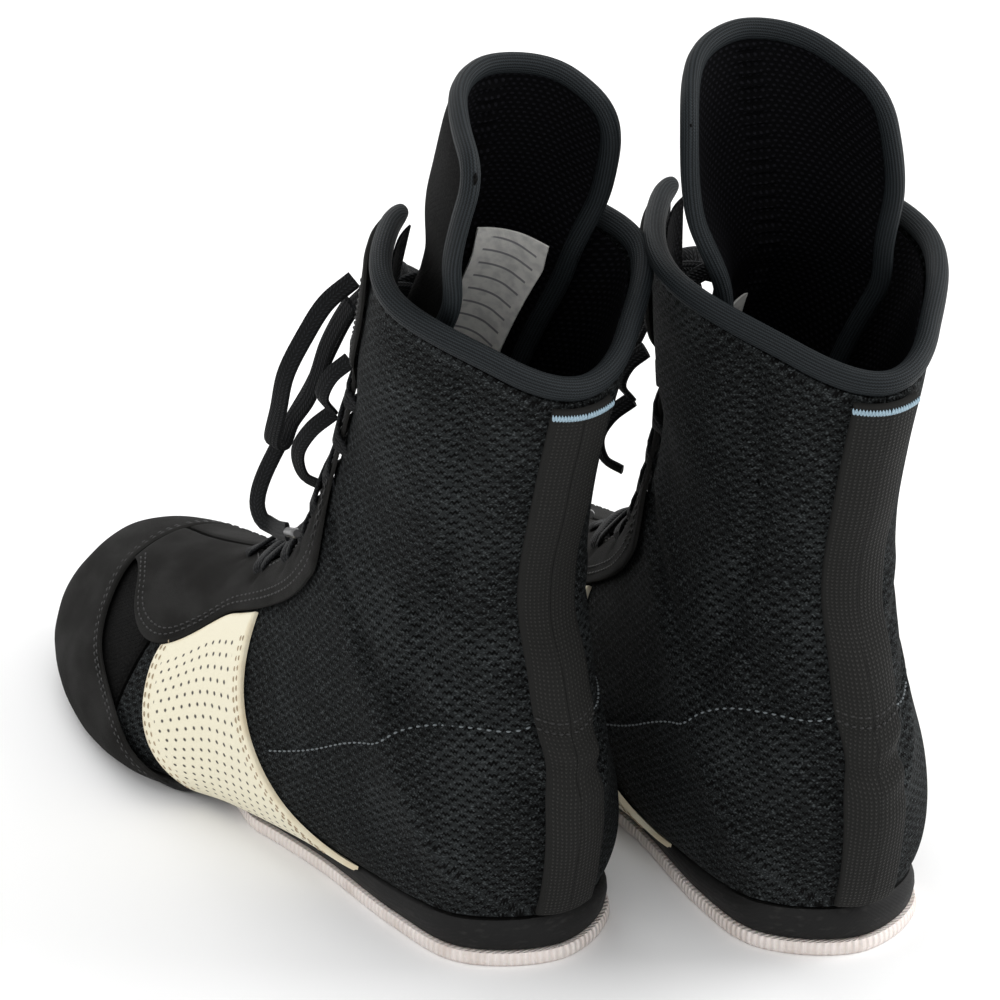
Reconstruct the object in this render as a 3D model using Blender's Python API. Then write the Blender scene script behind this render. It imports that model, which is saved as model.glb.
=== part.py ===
"""A pair of lace-up boxing boots, UK 8, as an assembly of separate pieces.

Frame: metres, +Z up. The origin is on the ground, at the middle of the pair's bounding box, and the left
boot's toe points along +Y. The right boot is its mirror image, set back beside it and turned out a
little. Lengths below are in millimetres and MM turns them into metres.

Each boot is lofted on one last: a fan of cross-sections that runs from the toe tip (station 0) over the
heel (station 9) to the collar (station 14). A place on it is a station, an angle (0 at the sole or the
back seam, pi at the front) and a side. Every layer of the upper is a patch of that surface at its own
depth. A boot's own coordinates start at the back of its heel, with x towards its inner side and y
towards its toe.
"""
from math import cos, pi, radians, sin

import bmesh
import bpy
import numpy as np

MM = 0.001

# Driving dimensions (mm)
FOOT_LENGTH = 265.0
SOLE_LENGTH = FOOT_LENGTH + 20.0
OUTSOLE_THICKNESS = 4.2
TOE_SPRING = 7.5
SHELL_GAP = 0.35
PAIR_CENTRE = (51.1, 109.2)
WELD_DISTANCE = 2e-5

# The last, for a sole 285 mm long. Each cross-section runs from its low point (on the sole's edge, or
# on the back seam) to its high point (on the front line). Half widths are at the start of the section
# and an eighth, a half and seven eighths of the way up it. The shift moves its middle to the medial side.
#  (low y, z), (high y, z), (half widths), (shift low, high)
STATIONS = (
    ((283, 12.5), (283, 27), (0, 0, 0, 0), (3, 3)),
    ((269, 9.5), (265, 41), (27, 29, 26, 14), (3.5, 3)),
    ((243, 5.5), (237, 50), (38.5, 42.5, 34.5, 19.5), (3, 2)),
    ((208, 4.2), (203, 57), (46, 48, 41, 22), (-1, 0)),
    ((168, 4.8), (166, 67), (44, 49, 39, 21), (-3, 0)),
    ((128, 7.5), (138, 80), (34, 40, 36, 21), (-2, 0)),
    ((86, 10), (118, 94), (29.5, 37, 35, 22), (-1, 0)),
    ((42, 13), (106, 108), (29.5, 35, 35, 24), (0, 0)),
    ((13, 14.5), (97, 123), (24, 31.5, 34.5, 25), (0, 0)),
    ((-1, 15), (90, 136), (0, 31.5, 33.5, 24), (0, 0)),
    ((-11.5, 48), (85, 148), (0, 19, 27.5, 22), (0, 0)),
    ((-6, 84), (79, 161), (0, 16, 27, 20.5), (0, 0)),
    ((1.5, 112), (72, 175), (0, 21, 29, 22), (0, 0)),
    ((-10, 148), (62, 194), (0, 19.5, 32.5, 24), (0, 0)),
    ((-23, 182), (47, 220), (0, 21.5, 40, 26.5), (0, 0)),
)
HEEL_BACK = 9.0
COLLAR = 14.0
COLLAR_RISE = 0.14
THROAT = 3.7
VAMP_REAR = 3.56
QUARTER_FRONT = 3.6
FEATHER_LIFT = 0.45

# Every layer of the upper has its points on these stations, so that neighbouring layers stay parallel.
ROWS = (0.0, 0.3, 0.7, 1.2, 1.8, 2.4, 3.0, VAMP_REAR, QUARTER_FRONT, 4.2, 4.8, 5.4, 6.0, 6.6, 7.2, 7.8,
        8.2, 8.55, 8.8, HEEL_BACK, 9.4, 10.0, 10.6, 11.2, 11.8, 12.4, 13.0, 13.4, COLLAR - 0.2)
COLUMNS = 6
PLATE_STATIONS = (0.0, 0.3, 0.7, 1.2, 1.8, 2.4, 3.0, 3.6, 4.1, 4.65, 5.2, 5.8, 6.4, 7.0, 7.5, 7.9, 8.2, 8.5,
                  8.75, 8.9, HEEL_BACK)

SIDES = (("lateral", -1), ("medial", 1))
WEBBING_WIDTH = 17.0
LEAN_FROM = 20.0
LEAN_TO = 185.0

# Layers of the upper, as (inner, outer) distances from the last's surface (mm)
UPPER = (-1.5, 0.0)
STIFFENER = (-3.7, -3.0)
LINING = (-5.5, -4.6)
TONGUE = (-11.0, -7.2)
LABEL = (-12.4, -11.8)
OVERLAY = (1.3, 2.5)
STRAP = (1.3, 2.6)

# The tongue: its root is level with the collar, and its free part rises above that and folds
TONGUE_ROOT = 13.45
TONGUE_RISE = 68.0
TONGUE_FOLD = TONGUE_ROOT + 0.31
FOLD_GAP = 0.003
TONGUE_SPREAD = 1.16
COLLAR_RADIUS = 2.9

# Lacing
EYELET_PAIRS = 10
FIRST_EYELET = 4.05
LAST_EYELET = 12.7
LACE_RADIUS = 1.6
LACE_LIFT = OVERLAY[1] + LACE_RADIUS + 1.8
KNOT_STATION = 12.15
KNOT_LIFT = 13.0
KNOT_HALF_SIZE = (6.5, 4.0, 5.0)

MATERIALS = {
    "outsole": ((0.83, 0.74, 0.70), 0.65, 0.0),
    "rubber": ((0.012, 0.012, 0.013), 0.55, 0.0),
    "board": ((0.42, 0.33, 0.24), 0.90, 0.0),
    "foam": ((0.030, 0.031, 0.034), 0.95, 0.0),
    "stiffener": ((0.55, 0.52, 0.46), 0.70, 0.0),
    "mesh": ((0.030, 0.034, 0.038), 0.90, 0.0),
    "fine_mesh": ((0.014, 0.014, 0.015), 0.90, 0.0),
    "suede": ((0.017, 0.016, 0.015), 0.95, 0.0),
    "leather": ((0.80, 0.75, 0.61), 0.45, 0.0),
    "webbing": ((0.014, 0.014, 0.014), 0.75, 0.0),
    "tape": ((0.035, 0.042, 0.048), 0.85, 0.0),
    "lining": ((0.010, 0.010, 0.013), 0.95, 0.0),
    "label": ((0.60, 0.58, 0.56), 0.60, 0.0),
    "lace": ((0.010, 0.010, 0.011), 0.80, 0.0),
    "aglet": ((0.015, 0.015, 0.016), 0.30, 0.0),
}


class Boot:
    """One boot of the pair: where it stands, which way it is handed, and how its soft top rests."""

    def __init__(self, name, mirror, place, turn, opening, lean, slump, tongue_lean, tongue_sway,
                 tongue_curl):
        self.name = name
        self.mirror = mirror
        self.place = np.array(place) - PAIR_CENTRE
        self.turn = turn
        self.opening = opening
        self.lean = lean
        self.slump = slump
        self.tongue_lean = tongue_lean
        self.tongue_sway = tongue_sway
        self.tongue_curl = tongue_curl

    def world(self, points):
        """Boot millimetres to world metres."""
        sideways = self.lean * np.clip((points[..., 2] - LEAN_FROM) / (LEAN_TO - LEAN_FROM), 0.0, None)
        x = (points[..., 0] + sideways) * self.mirror
        y = points[..., 1]
        cosine, sine = cos(self.turn), sin(self.turn)
        across = self.place[0] + cosine * x - sine * y
        along = self.place[1] + sine * x + cosine * y
        return np.stack([across, along, points[..., 2]], -1) * MM


LEFT = Boot("left", 1, (0.0, 0.0), 0.0, 0.0, 0.0, 4.5, 0.47, -0.07, 24.0)
RIGHT = Boot("right", -1, (72.1, -45.1), -0.162, 36.0, 3.0, 26.0, 0.21, 0.18, 0.0)


# --- The last's surface ---------------------------------------------------------------------------

def catmull(before, start, end, after, u):
    """A smooth curve from start to end through its neighbours, at u from 0 to 1."""
    return 0.5 * (2 * start + (end - before) * u + (2 * before - 5 * start + 4 * end - after) * u**2
                  + (3 * start - before - 3 * end + after) * u**3)


def station_table(boot):
    """The stations as rows of ten numbers, with the collar opened forward by the boot's own amount."""
    scale = SOLE_LENGTH / 285.0
    rows = np.array([[*low, *high, *widths, *shift] for low, high, widths, shift in STATIONS], float) * scale
    rise = np.clip((np.arange(len(rows)) - 7.0) / 7.0, 0.0, 1.0) ** 2
    rows[:, 2] += boot.opening * rise
    rows[:, 3] -= 0.2 * boot.opening * rise
    first = rows[1].copy()
    first[4:8] *= -1.0
    return np.vstack([first, rows, 2 * rows[-1] - rows[-2]])


def last_point(boot, station, angle, side):
    """A point of the last in boot millimetres; side is -1 lateral and +1 medial, angle 0 low to pi high.

    At the back of the heel the sole's edge curves round as if its other half followed.
    """
    table = station_table(boot)
    station, angle, side = np.broadcast_arrays(*(np.asarray(v, float) for v in (station, angle, side)))
    index = np.clip(np.floor(station).astype(int), 0, len(STATIONS) - 2)
    before, start, end, after = (table[index + step] for step in range(4))
    at_heel = (index == HEEL_BACK - 1)[..., None]
    after[..., :2] = np.where(at_heel, start[..., :2], after[..., :2])
    after[..., 4:5] = np.where(at_heel, -start[..., 4:5], after[..., 4:5])
    before[..., 4] = np.where(index == HEEL_BACK, 0.0, before[..., 4])
    row = catmull(before, start, end, after, (station - index)[..., None])
    start, low, middle, high = (row[..., 4 + k] for k in range(4))
    widths = np.stack([2 * start - low, start, low, middle, high, 0 * high, -high], -1)
    steps = np.clip(angle / (pi / 4), 0.0, 4.0)
    cell = np.clip(np.floor(steps).astype(int), 0, 3)
    picked = [np.take_along_axis(widths, (cell + step)[..., None], -1)[..., 0] for step in range(4)]
    half_width = catmull(*picked, steps - cell)
    rise = (1 - np.cos(angle)) / 2
    x = row[..., 8] * (1 - rise) + row[..., 9] * rise + side * half_width
    y = row[..., 0] * (1 - rise) + row[..., 2] * rise
    z = row[..., 1] * (1 - rise) + row[..., 3] * rise
    return np.stack([x, y, z], -1)


def last_normal(boot, station, angle, side):
    """The outward unit normal of the last."""
    step = 0.02
    along = last_point(boot, station + step, angle, side) - last_point(boot, station - step, angle, side)
    angle_in = np.clip(angle, step, pi - step)
    above = last_point(boot, station, angle_in + step, side)
    around = above - last_point(boot, station, angle_in - step, side)
    normal = np.cross(around, along) * np.asarray(side, float)[..., None]
    on_middle = (angle >= pi - 1e-6) | ((angle <= 1e-6) & (station >= HEEL_BACK - 1e-6))
    normal[..., 0] = np.where(on_middle, 0.0, normal[..., 0])
    tip_normal = np.stack([0 * angle, 0 * angle + 1.0, np.maximum(-np.cos(angle), 0.0)], -1)
    normal = np.where((station <= 1e-6)[..., None], tip_normal, normal)
    return normal / np.linalg.norm(normal, axis=-1, keepdims=True)


def last_offset(boot, station, angle, side, depth):
    """A point at a distance outside (or, below zero, inside) the last's surface."""
    station, angle, side = np.broadcast_arrays(*(np.asarray(v, float) for v in (station, angle, side)))
    return last_point(boot, station, angle, side) + last_normal(boot, station, angle, side) * depth


FEATHER_LINE = last_point(LEFT, np.linspace(HEEL_BACK, 0.0, 91), 0.0, 1)


# --- Building meshes ------------------------------------------------------------------------------

def material(name):
    """A Principled material, made once."""
    if name in bpy.data.materials:
        return bpy.data.materials[name]
    colour, roughness, metallic = MATERIALS[name]
    made = bpy.data.materials.new(name)
    made.use_nodes = True
    shader = made.node_tree.nodes["Principled BSDF"]
    shader.inputs["Base Color"].default_value = (*colour, 1.0)
    shader.inputs["Roughness"].default_value = roughness
    shader.inputs["Metallic"].default_value = metallic
    return made


def add_object(boot, name, data, look):
    """Link a mesh or a curve as a named piece of a boot."""
    made = bpy.data.objects.new(f"{boot.name}_{name}", data)
    bpy.context.collection.objects.link(made)
    data.materials.append(material(look))
    return made


def add_mesh(boot, name, points, faces, look, origin=(0.0, 0.0, 0.0)):
    """A closed mesh facing outwards, from points in world metres, with its origin where it turns."""
    data = bpy.data.meshes.new(name)
    data.from_pydata([tuple(point) for point in points - np.array(origin)], [], faces)
    shape = bmesh.new()
    shape.from_mesh(data)
    bmesh.ops.remove_doubles(shape, verts=shape.verts, dist=1e-7)
    bmesh.ops.recalc_face_normals(shape, faces=shape.faces)
    if shape.calc_volume(signed=True) < 0:
        bmesh.ops.reverse_faces(shape, faces=shape.faces)
    shape.to_mesh(data)
    shape.free()
    data.shade_smooth()
    data.set_sharp_from_angle(angle=radians(40))
    add_object(boot, name, data, look).location = origin


def solid(boot, name, outer, inner, faces, look, origin_mm=None):
    """A closed solid from two matching sheets of points and the faces of one sheet.

    Points of the outer sheet that fall together are welded, and walls close every open edge.
    """
    outer_world, inner_world = boot.world(outer), boot.world(inner)
    distances = np.linalg.norm(outer_world[:, None] - outer_world[None], axis=2)
    weld = [int(near) for near in np.argmax(distances < WELD_DISTANCE, axis=1)]
    kept = sorted(set(weld))
    place = {number: k for k, number in enumerate(kept)}
    count = len(kept)
    kept_faces = []
    for face in faces:
        corners = list(dict.fromkeys(place[weld[number]] for number in face))
        if len(corners) > 2:
            kept_faces.append(corners)
    edges = {(a, b) for face in kept_faces for a, b in zip(face, face[1:] + face[:1])}
    walls = [(b, a, a + count, b + count) for a, b in sorted(edges) if (b, a) not in edges]
    back = [[corner + count for corner in reversed(face)] for face in kept_faces]
    origin = np.zeros(3) if origin_mm is None else boot.world(np.array(origin_mm, float))
    points = np.vstack([outer_world[kept], inner_world[kept]])
    add_mesh(boot, name, points, kept_faces + back + walls, look, tuple(origin))


def grid_faces(rows, columns, first=0, flip=False):
    """Triangles of a grid of points numbered row by row, all cut along the same diagonal."""
    faces = []
    for r in range(rows - 1):
        for c in range(columns - 1):
            a = first + r * columns + c
            pair = ([a, a + 1, a + columns], [a + 1, a + columns + 1, a + columns])
            faces += [half[::-1] if flip else half for half in pair]
    return faces


def patch(boot, name, columns, places, depths, look, sides=(-1, 1), point=last_offset, origin_mm=None):
    """A solid over part of the last, from rows of (station, angle) places with so many columns each.

    depths are those of its inner and its outer face, and point is the surface that it follows.
    """
    station, angle = np.array(places, float).T
    rows = len(places) // columns
    outer, inner, faces = [], [], []
    for number, side in enumerate(sides):
        inner.append(point(boot, station, angle, side, depths[0]))
        outer.append(point(boot, station, angle, side, depths[1]))
        faces += grid_faces(rows, columns, number * len(places), flip=side > 0)
    solid(boot, name, np.vstack(outer), np.vstack(inner), faces, look, origin_mm)


def sheet(boot, name, rows, columns, place, depths, look, sides=(-1, 1)):
    """A patch whose place(row share, column share) gives a station and an angle for shares from 0 to 1."""
    places = [place(r / (rows - 1), c / (columns - 1)) for r in range(rows) for c in range(columns)]
    patch(boot, name, columns, places, depths, look, sides)


def blend(start, end, share):
    """A value part of the way from start to end."""
    return start + (end - start) * share


def smooth_step(value, start, end):
    """0 before start, 1 after end, and smooth between."""
    share = np.clip((value - start) / (end - start), 0.0, 1.0)
    return share * share * (3 - 2 * share)


def throat_edge(station):
    """The angle where the upper stops beside the lacing; the upper is whole before the throat."""
    return pi - 0.50 * smooth_step(station, THROAT - 0.1, THROAT + 1.5)


def collar_edge(angle):
    """The station of the collar's edge, which rises a little at the boot's sides."""
    return COLLAR - 0.2 + COLLAR_RISE * sin(angle) ** 2


def beside_seam_angle(station, column):
    """The angle of a column, from 0 at the sole, or beside the back seam, to COLUMNS at the throat."""
    low = 0.0 if station < HEEL_BACK else 0.012
    return max(min(throat_edge(station), pi - 0.03) * column / COLUMNS, low)


def across_seam_angle(station, column):
    """Like beside_seam_angle, but closed over the back seam and, before the throat, over the front."""
    return throat_edge(station) * column / COLUMNS


def lifted_angle(station, column):
    """Like across_seam_angle, but its lower edge is a column above the sole as far as the back seam."""
    low_column = 1 if station < HEEL_BACK else 0
    return across_seam_angle(station, max(column, low_column))


def layer(boot, name, first, last, angle_at, depths, look, columns=COLUMNS, sides=(-1, 1)):
    """A layer of the upper between two stations, up to a number of columns from its lower edge."""
    places = []
    for station in ROWS:
        if not first <= station <= last:
            continue
        collar_share = max(station - 12.0, 0.0) / (COLLAR - 12.2)
        for column in range(columns + 1):
            angle = angle_at(station, column)
            places.append((station + collar_share * COLLAR_RISE * sin(angle) ** 2, angle))
    patch(boot, name, columns + 1, places, depths, look, sides)


# --- Soles ----------------------------------------------------------------------------------------

def sole_rail(boot, inset, side):
    """The sole's edge on one side, moved inwards by inset(station)."""
    station = np.array(PLATE_STATIONS)
    edge = last_point(boot, station, 0.0, side)
    ahead = last_point(boot, station + 0.02, 0.0, side)
    behind = last_point(boot, station - 0.02, 0.0, side)
    run = (ahead - behind)[:, :2]
    run /= np.linalg.norm(run, axis=1)[:, None]
    inward = np.stack([run[:, 1], -run[:, 0]], 1) * side
    inward[0] = (0.0, -1.0)
    inward[-1] = (0.0, 1.0)
    edge[:, :2] += inward * np.array([inset(s) for s in PLATE_STATIONS])[:, None]
    return edge


def plate(boot, name, inset, bottom, top, look, rim=0.5):
    """A sole layer: rungs across the boot from toe to heel, between two surfaces.

    bottom and top give heights from a point, its station and whether it is on the edge; rim is the
    share of the width that lies outside the inner columns.
    """
    across = (0.0, rim, 1 - rim, 1.0) if rim < 0.5 else (0.0, 0.5, 1.0)
    upper_side, lower_side = [], []
    for station, left, right in zip(PLATE_STATIONS, sole_rail(boot, inset, -1), sole_rail(boot, inset, 1)):
        if station in (0.0, HEEL_BACK):
            left = right = (left + right) / 2
        for share in across:
            point = left * (1 - share) + right * share
            at_edge = share in (0.0, 1.0)
            upper_side.append((point[0], point[1], top(point, station, at_edge)))
            lower_side.append((point[0], point[1], bottom(point, station, at_edge)))
    faces = grid_faces(len(PLATE_STATIONS), len(across))
    solid(boot, name, np.array(upper_side), np.array(lower_side), faces, look)


def feather_height(point):
    """The height of the sole's edge, where the upper starts, at a point's distance from the heel."""
    return float(np.interp(point[1], FEATHER_LINE[:, 1], FEATHER_LINE[:, 2]))


def ground(point):
    """The height of the sole's underside: flat, then rising to the toe."""
    return TOE_SPRING * max((point[1] - 215.0) / 70.0, 0.0) ** 2


def outsole_top(point):
    """The height where the outsole meets the midsole; it is thinner under the forefoot."""
    thinning = 1.6 * smooth_step(point[1], 110.0, 190.0)
    return ground(point) + OUTSOLE_THICKNESS - thinning


def soles(boot):
    """The outsole, the midsole, the lasting board and the sock liner, from the ground up.

    Under the forefoot the midsole's rim turns down around the outsole, so the outsole only shows
    from the waist of the boot to the heel.
    """
    def outsole_inset(station):
        return blend(9.0, -1.6, smooth_step(station, 4.5, 5.3))

    def midsole_inset(station):
        return blend(0.5, -0.6, smooth_step(station, 3.6, 5.6))

    def midsole_bottom(point, station, at_edge):
        turned_down = at_edge and station < 4.3
        return ground(point) + 0.8 if turned_down else outsole_top(point) + SHELL_GAP

    def above_feather(height):
        return lambda point, station, at_edge: feather_height(point) + height

    plate(boot, "outsole", outsole_inset, lambda p, s, e: ground(p), lambda p, s, e: outsole_top(p),
          "outsole")
    plate(boot, "midsole", midsole_inset, midsole_bottom, above_feather(-2 * SHELL_GAP), "rubber", 0.09)
    plate(boot, "lasting_board", lambda s: 6.0, above_feather(0.3), above_feather(2.1), "board")
    plate(boot, "sock_liner", lambda s: 7.5, above_feather(2.6), above_feather(6.0), "foam")


# --- Upper ----------------------------------------------------------------------------------------

def stiffeners(boot):
    """The toe puff and the heel counter, hidden between the upper and the lining."""
    layer(boot, "toe_puff", 0.0, 1.8, lifted_angle, STIFFENER, "stiffener")
    layer(boot, "heel_counter", 7.2, 10.6, lifted_angle, STIFFENER, "stiffener", 3)


def upper_body(boot):
    """The vamp, the two quarters and the lining."""
    layer(boot, "vamp", 0.0, VAMP_REAR, across_seam_angle, UPPER, "fine_mesh")
    for label, side in SIDES:
        layer(boot, f"quarter_{label}", QUARTER_FRONT, COLLAR, beside_seam_angle, UPPER, "mesh",
              sides=(side,))
    layer(boot, "lining", 0.0, COLLAR, lifted_angle, LINING, "lining")


def eyestay_edge(station):
    """The eyestay's outer edge: it spreads over the vamp, narrows up the shaft and widens at the collar."""
    vamp = blend(2.44, 1.80, smooth_step(station, 2.3, 3.7))
    instep = blend(vamp, 2.17, smooth_step(station, 3.7, 4.9))
    shaft = blend(instep, 2.54, smooth_step(station, 7.8, 9.4))
    return blend(shaft, 2.02, smooth_step(station, 10.8, 13.8))


def toe_cap_rear(angle):
    """The station of the toe cap's rear edge, which sweeps back towards the sole."""
    return blend(4.35, 2.2, smooth_step(angle, 0.2, 2.5))


def panel_front(angle):
    """The station of the side panel's front edge."""
    return blend(4.62, 3.86, smooth_step(angle, 0.1, 1.75))


def panel_rear(angle):
    """The station of the side panel's rear edge, which runs out along the sole."""
    return 5.45 + 1.35 * (1 - smooth_step(angle, -0.5, 2.1)) ** 1.5


def overlays(boot):
    """The suede toe cap and eyestays, and the leather side panels."""
    def cap_place(row, column):
        angle = blend(FEATHER_LIFT, pi, column)
        return toe_cap_rear(angle) * row, angle

    def eyestay_place(row, column):
        station = blend(2.32, COLLAR - 0.2, row)
        high = min(throat_edge(station), pi - 0.03)
        angle = blend(eyestay_edge(station), high, column)
        return blend(2.32, collar_edge(angle), row), angle

    def panel_place(row, column):
        top = eyestay_edge(blend(3.9, 5.4, column)) - 0.05
        angle = blend(top, FEATHER_LIFT, row ** 1.2)
        return blend(panel_front(angle), panel_rear(angle), column), angle

    sheet(boot, "toe_cap", 10, 9, cap_place, OVERLAY, "suede")
    for label, side in SIDES:
        sheet(boot, f"eyestay_{label}", 19, 4, eyestay_place, OVERLAY, "suede", (side,))
        sheet(boot, f"side_panel_{label}", 8, 5, panel_place, OVERLAY, "leather", (side,))


def heel_webbing(boot):
    """A webbing strap up the back seam, from the midsole to the collar."""
    places = []
    for station in [HEEL_BACK + 0.15] + [row for row in ROWS if row > HEEL_BACK]:
        angles = np.linspace(0.0, 1.2, 25)
        half_widths = last_point(boot, station, angles, 1)[:, 0]
        places += [(station, 0.0), (station, np.interp(WEBBING_WIDTH / 2, half_widths, angles))]
    patch(boot, "heel_webbing", 2, places, STRAP, "webbing")


def swept_tube(boot, name, centres, radius, look, sides_round=6):
    """A closed tube along points in boot millimetres."""
    centres = np.asarray(centres, float)
    runs = np.gradient(centres, axis=0)
    runs /= np.linalg.norm(runs, axis=1)[:, None]
    across = np.cross(runs, (0.0, 0.0, 1.0))
    across /= np.linalg.norm(across, axis=1)[:, None]
    upward = np.cross(across, runs)
    turns = np.arange(sides_round) * 2 * pi / sides_round
    rings = (centres[:, None, :] + radius * (np.cos(turns)[None, :, None] * across[:, None, :]
                                             + np.sin(turns)[None, :, None] * upward[:, None, :]))
    points = boot.world(rings.reshape(-1, 3))
    faces = [list(range(sides_round)), list(range(len(points) - sides_round, len(points)))]
    faces += ring_faces(len(centres), sides_round)
    add_mesh(boot, name, points, faces, look)


def ring_faces(rings, sides_round):
    """The quads between rings of points that follow each other."""
    faces = []
    for r in range(rings - 1):
        for c in range(sides_round):
            a = r * sides_round + c
            b = r * sides_round + (c + 1) % sides_round
            faces.append([a, b, b + sides_round, a + sides_round])
    return faces


def collar_roll(boot):
    """The knitted roll that binds the collar from one eyestay, round the back, to the other."""
    reach = throat_edge(COLLAR) - 0.02
    sweep = np.linspace(-reach, reach, 23)
    side = np.where(sweep < 0, -1.0, 1.0)
    angle = np.abs(sweep)
    station = np.array([collar_edge(a) for a in angle]) + 0.2
    middle = sum(UPPER) / 2 - 1.4
    edge = last_offset(boot, station, angle, side, middle)
    below = last_offset(boot, station - 0.2, angle, side, middle)
    rise = edge - below
    rise /= np.linalg.norm(rise, axis=1)[:, None]
    swept_tube(boot, "collar_roll", below + rise * (COLLAR_RADIUS + 2 * SHELL_GAP), COLLAR_RADIUS, "tape")


# --- Tongue ---------------------------------------------------------------------------------------

def tongue_point(boot, station, out, side, depth):
    """A point of the tongue, out from 0 in its middle to 1 at its edge.

    Up to TONGUE_ROOT it lies inside the last, tapered at the throat, and slumps back from the lacing.
    The next whole station is the free part, which leans as its boot sets and widens to a rounded top.
    Its lateral edge curls back.
    """
    inside = np.minimum(station, TONGUE_ROOT)
    spread = TONGUE_SPREAD * blend(0.32, 1.0, smooth_step(inside, THROAT, THROAT + 3.5))
    point = last_offset(boot, inside, pi - spread * out, side, depth)
    slump = boot.slump * np.clip((inside - 8.5) / (TONGUE_ROOT - 8.5), 0.0, 1.0) ** 2
    share = station - inside
    reach = TONGUE_RISE * share * (1 - 0.15 * out ** 3)
    taper = 1 + 0.26 * smooth_step(share, 0.1, 0.55) - 0.10 * share ** 6
    curl = boot.tongue_curl * smooth_step(station, 12.3, 14.1) * out ** 2 * (side < 0)
    x = point[..., 0] * taper + reach * boot.tongue_sway
    y = point[..., 1] - slump - curl - reach * sin(boot.tongue_lean)
    z = point[..., 2] + reach * cos(boot.tongue_lean)
    return np.stack([x, y, z], -1)


def tongue(boot):
    """The tongue up to its fold, the flap above the fold, and the label sewn inside it."""
    rows = list(np.linspace(THROAT + 0.6, TONGUE_ROOT, 12)) + [TONGUE_ROOT + 0.15, TONGUE_FOLD - FOLD_GAP]
    places = [(row, 1 - column / 4) for row in rows for column in range(5)]
    patch(boot, "tongue", 5, places, TONGUE, "fine_mesh", point=tongue_point)
    rows = np.linspace(TONGUE_FOLD + FOLD_GAP, TONGUE_ROOT + 1, 6)
    places = [(row, 1 - column / 4) for row in rows for column in range(5)]
    hinge = tongue_point(boot, np.array(TONGUE_FOLD), np.array(0.0), 1.0, TONGUE[1]) + (0.0, 0.2, 0.0)
    patch(boot, "tongue_flap", 5, places, TONGUE, "fine_mesh", point=tongue_point, origin_mm=hinge)
    places = [(row, out) for row in (12.0, 12.3, 12.62, 13.03, TONGUE_ROOT, TONGUE_ROOT + 0.15)
              for out in (0.15, 0.25, 0.5, 0.75, 0.85)]
    patch(boot, "size_label", 5, places, LABEL, "label", (1,), tongue_point)


# --- Laces ----------------------------------------------------------------------------------------

def eyelet(pair):
    """Where the lace passes a pair of eyelets: its station and its angle."""
    station = blend(FIRST_EYELET, LAST_EYELET, pair / (EYELET_PAIRS - 1))
    return station, throat_edge(station) - 0.20


def lace_strand(boot, side, lift):
    """Half the lacing, from the first pair of eyelets to the last, crossing the throat at each step."""
    points = []
    for pair in range(EYELET_PAIRS - 1):
        station, angle = eyelet(pair)
        next_station, next_angle = eyelet(pair + 1)
        crossing = ((0.0, angle, side, 0.0), (0.25, (angle + pi) / 2, side, 0.55), (0.5, pi, side, 1.0),
                    (0.75, (next_angle + pi) / 2, -side, 0.55))
        for share, around, hand, rise in crossing:
            along = blend(station, next_station, share)
            points.append(last_offset(boot, along, around, hand, LACE_LIFT + lift * rise))
        side = -side
    points.append(last_offset(boot, *eyelet(EYELET_PAIRS - 1), side, LACE_LIFT))
    return np.array(points)


def cord(boot, name, points, radius, look="lace"):
    """A lace as a round tube on a poly spline, in world metres, with its ends filled."""
    data = bpy.data.curves.new(name, "CURVE")
    data.dimensions = "3D"
    data.bevel_depth = radius * MM
    data.bevel_resolution = 2
    data.use_fill_caps = True
    spline = data.splines.new("POLY")
    world = boot.world(np.asarray(points, float))
    spline.points.add(len(world) - 1)
    for target, point in zip(spline.points, world):
        target.co = (*point, 1.0)
    add_object(boot, name, data, look)


def smooth_route(route, count):
    """Points at even steps along a smooth curve through a hand-set route."""
    route = np.asarray(route, float)
    ends = np.vstack([2 * route[0] - route[1], route, 2 * route[-1] - route[-2]])
    fine = np.array([catmull(*ends[k:k + 4], u) for k in range(len(route) - 1)
                     for u in np.linspace(0, 1, 24, endpoint=False)] + [route[-1]])
    length = np.concatenate([[0.0], np.cumsum(np.linalg.norm(np.diff(fine, axis=0), axis=1))])
    steps = np.linspace(0.0, length[-1], count)
    return np.stack([np.interp(steps, length, fine[:, axis]) for axis in range(3)], 1)


# Routes of the bow on the left boot's lateral side, in boot mm. The other side mirrors them.
LOOP_ROUTE = ((-7.5, 88, 181), (-16, 90, 175), (-23, 91, 166), (-28, 94, 155), (-28, 100, 142),
              (-26, 109, 129), (-21, 112, 126), (-18, 111, 133), (-15, 106, 141), (-13, 103, 149),
              (-11, 101, 157),
              (-9, 97, 165), (-7.5, 91, 173))
TAIL_ROUTE = ((-2.5, 89, 176), (-4, 99, 167), (-6, 107, 155), (-10, 113, 141), (-16, 118, 128),
              (-25, 117, 116), (-28, 117, 108), (-28, 115, 103), (-27, 111, 102), (-30, 100, 105),
              (-33, 89, 109))
AGLET_LENGTH = 14.0


def knot_middle(boot):
    """The knot lies over the top of the lacing."""
    return last_offset(boot, KNOT_STATION, pi, 1.0, KNOT_LIFT)


def knot(boot):
    """The tied knot, a rounded pad."""
    rings, turns = 6, 10
    points = []
    middle = knot_middle(boot)
    for r in range(rings + 1):
        lift = pi * r / rings
        for c in range(turns):
            turn = 2 * pi * c / turns
            across, deep, high = sin(lift) * cos(turn), sin(lift) * sin(turn), cos(lift)
            points.append(middle + np.array([across, deep, high]) * KNOT_HALF_SIZE)
    add_mesh(boot, "bow_knot", boot.world(np.array(points)), ring_faces(rings + 1, turns), "lace")


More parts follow.
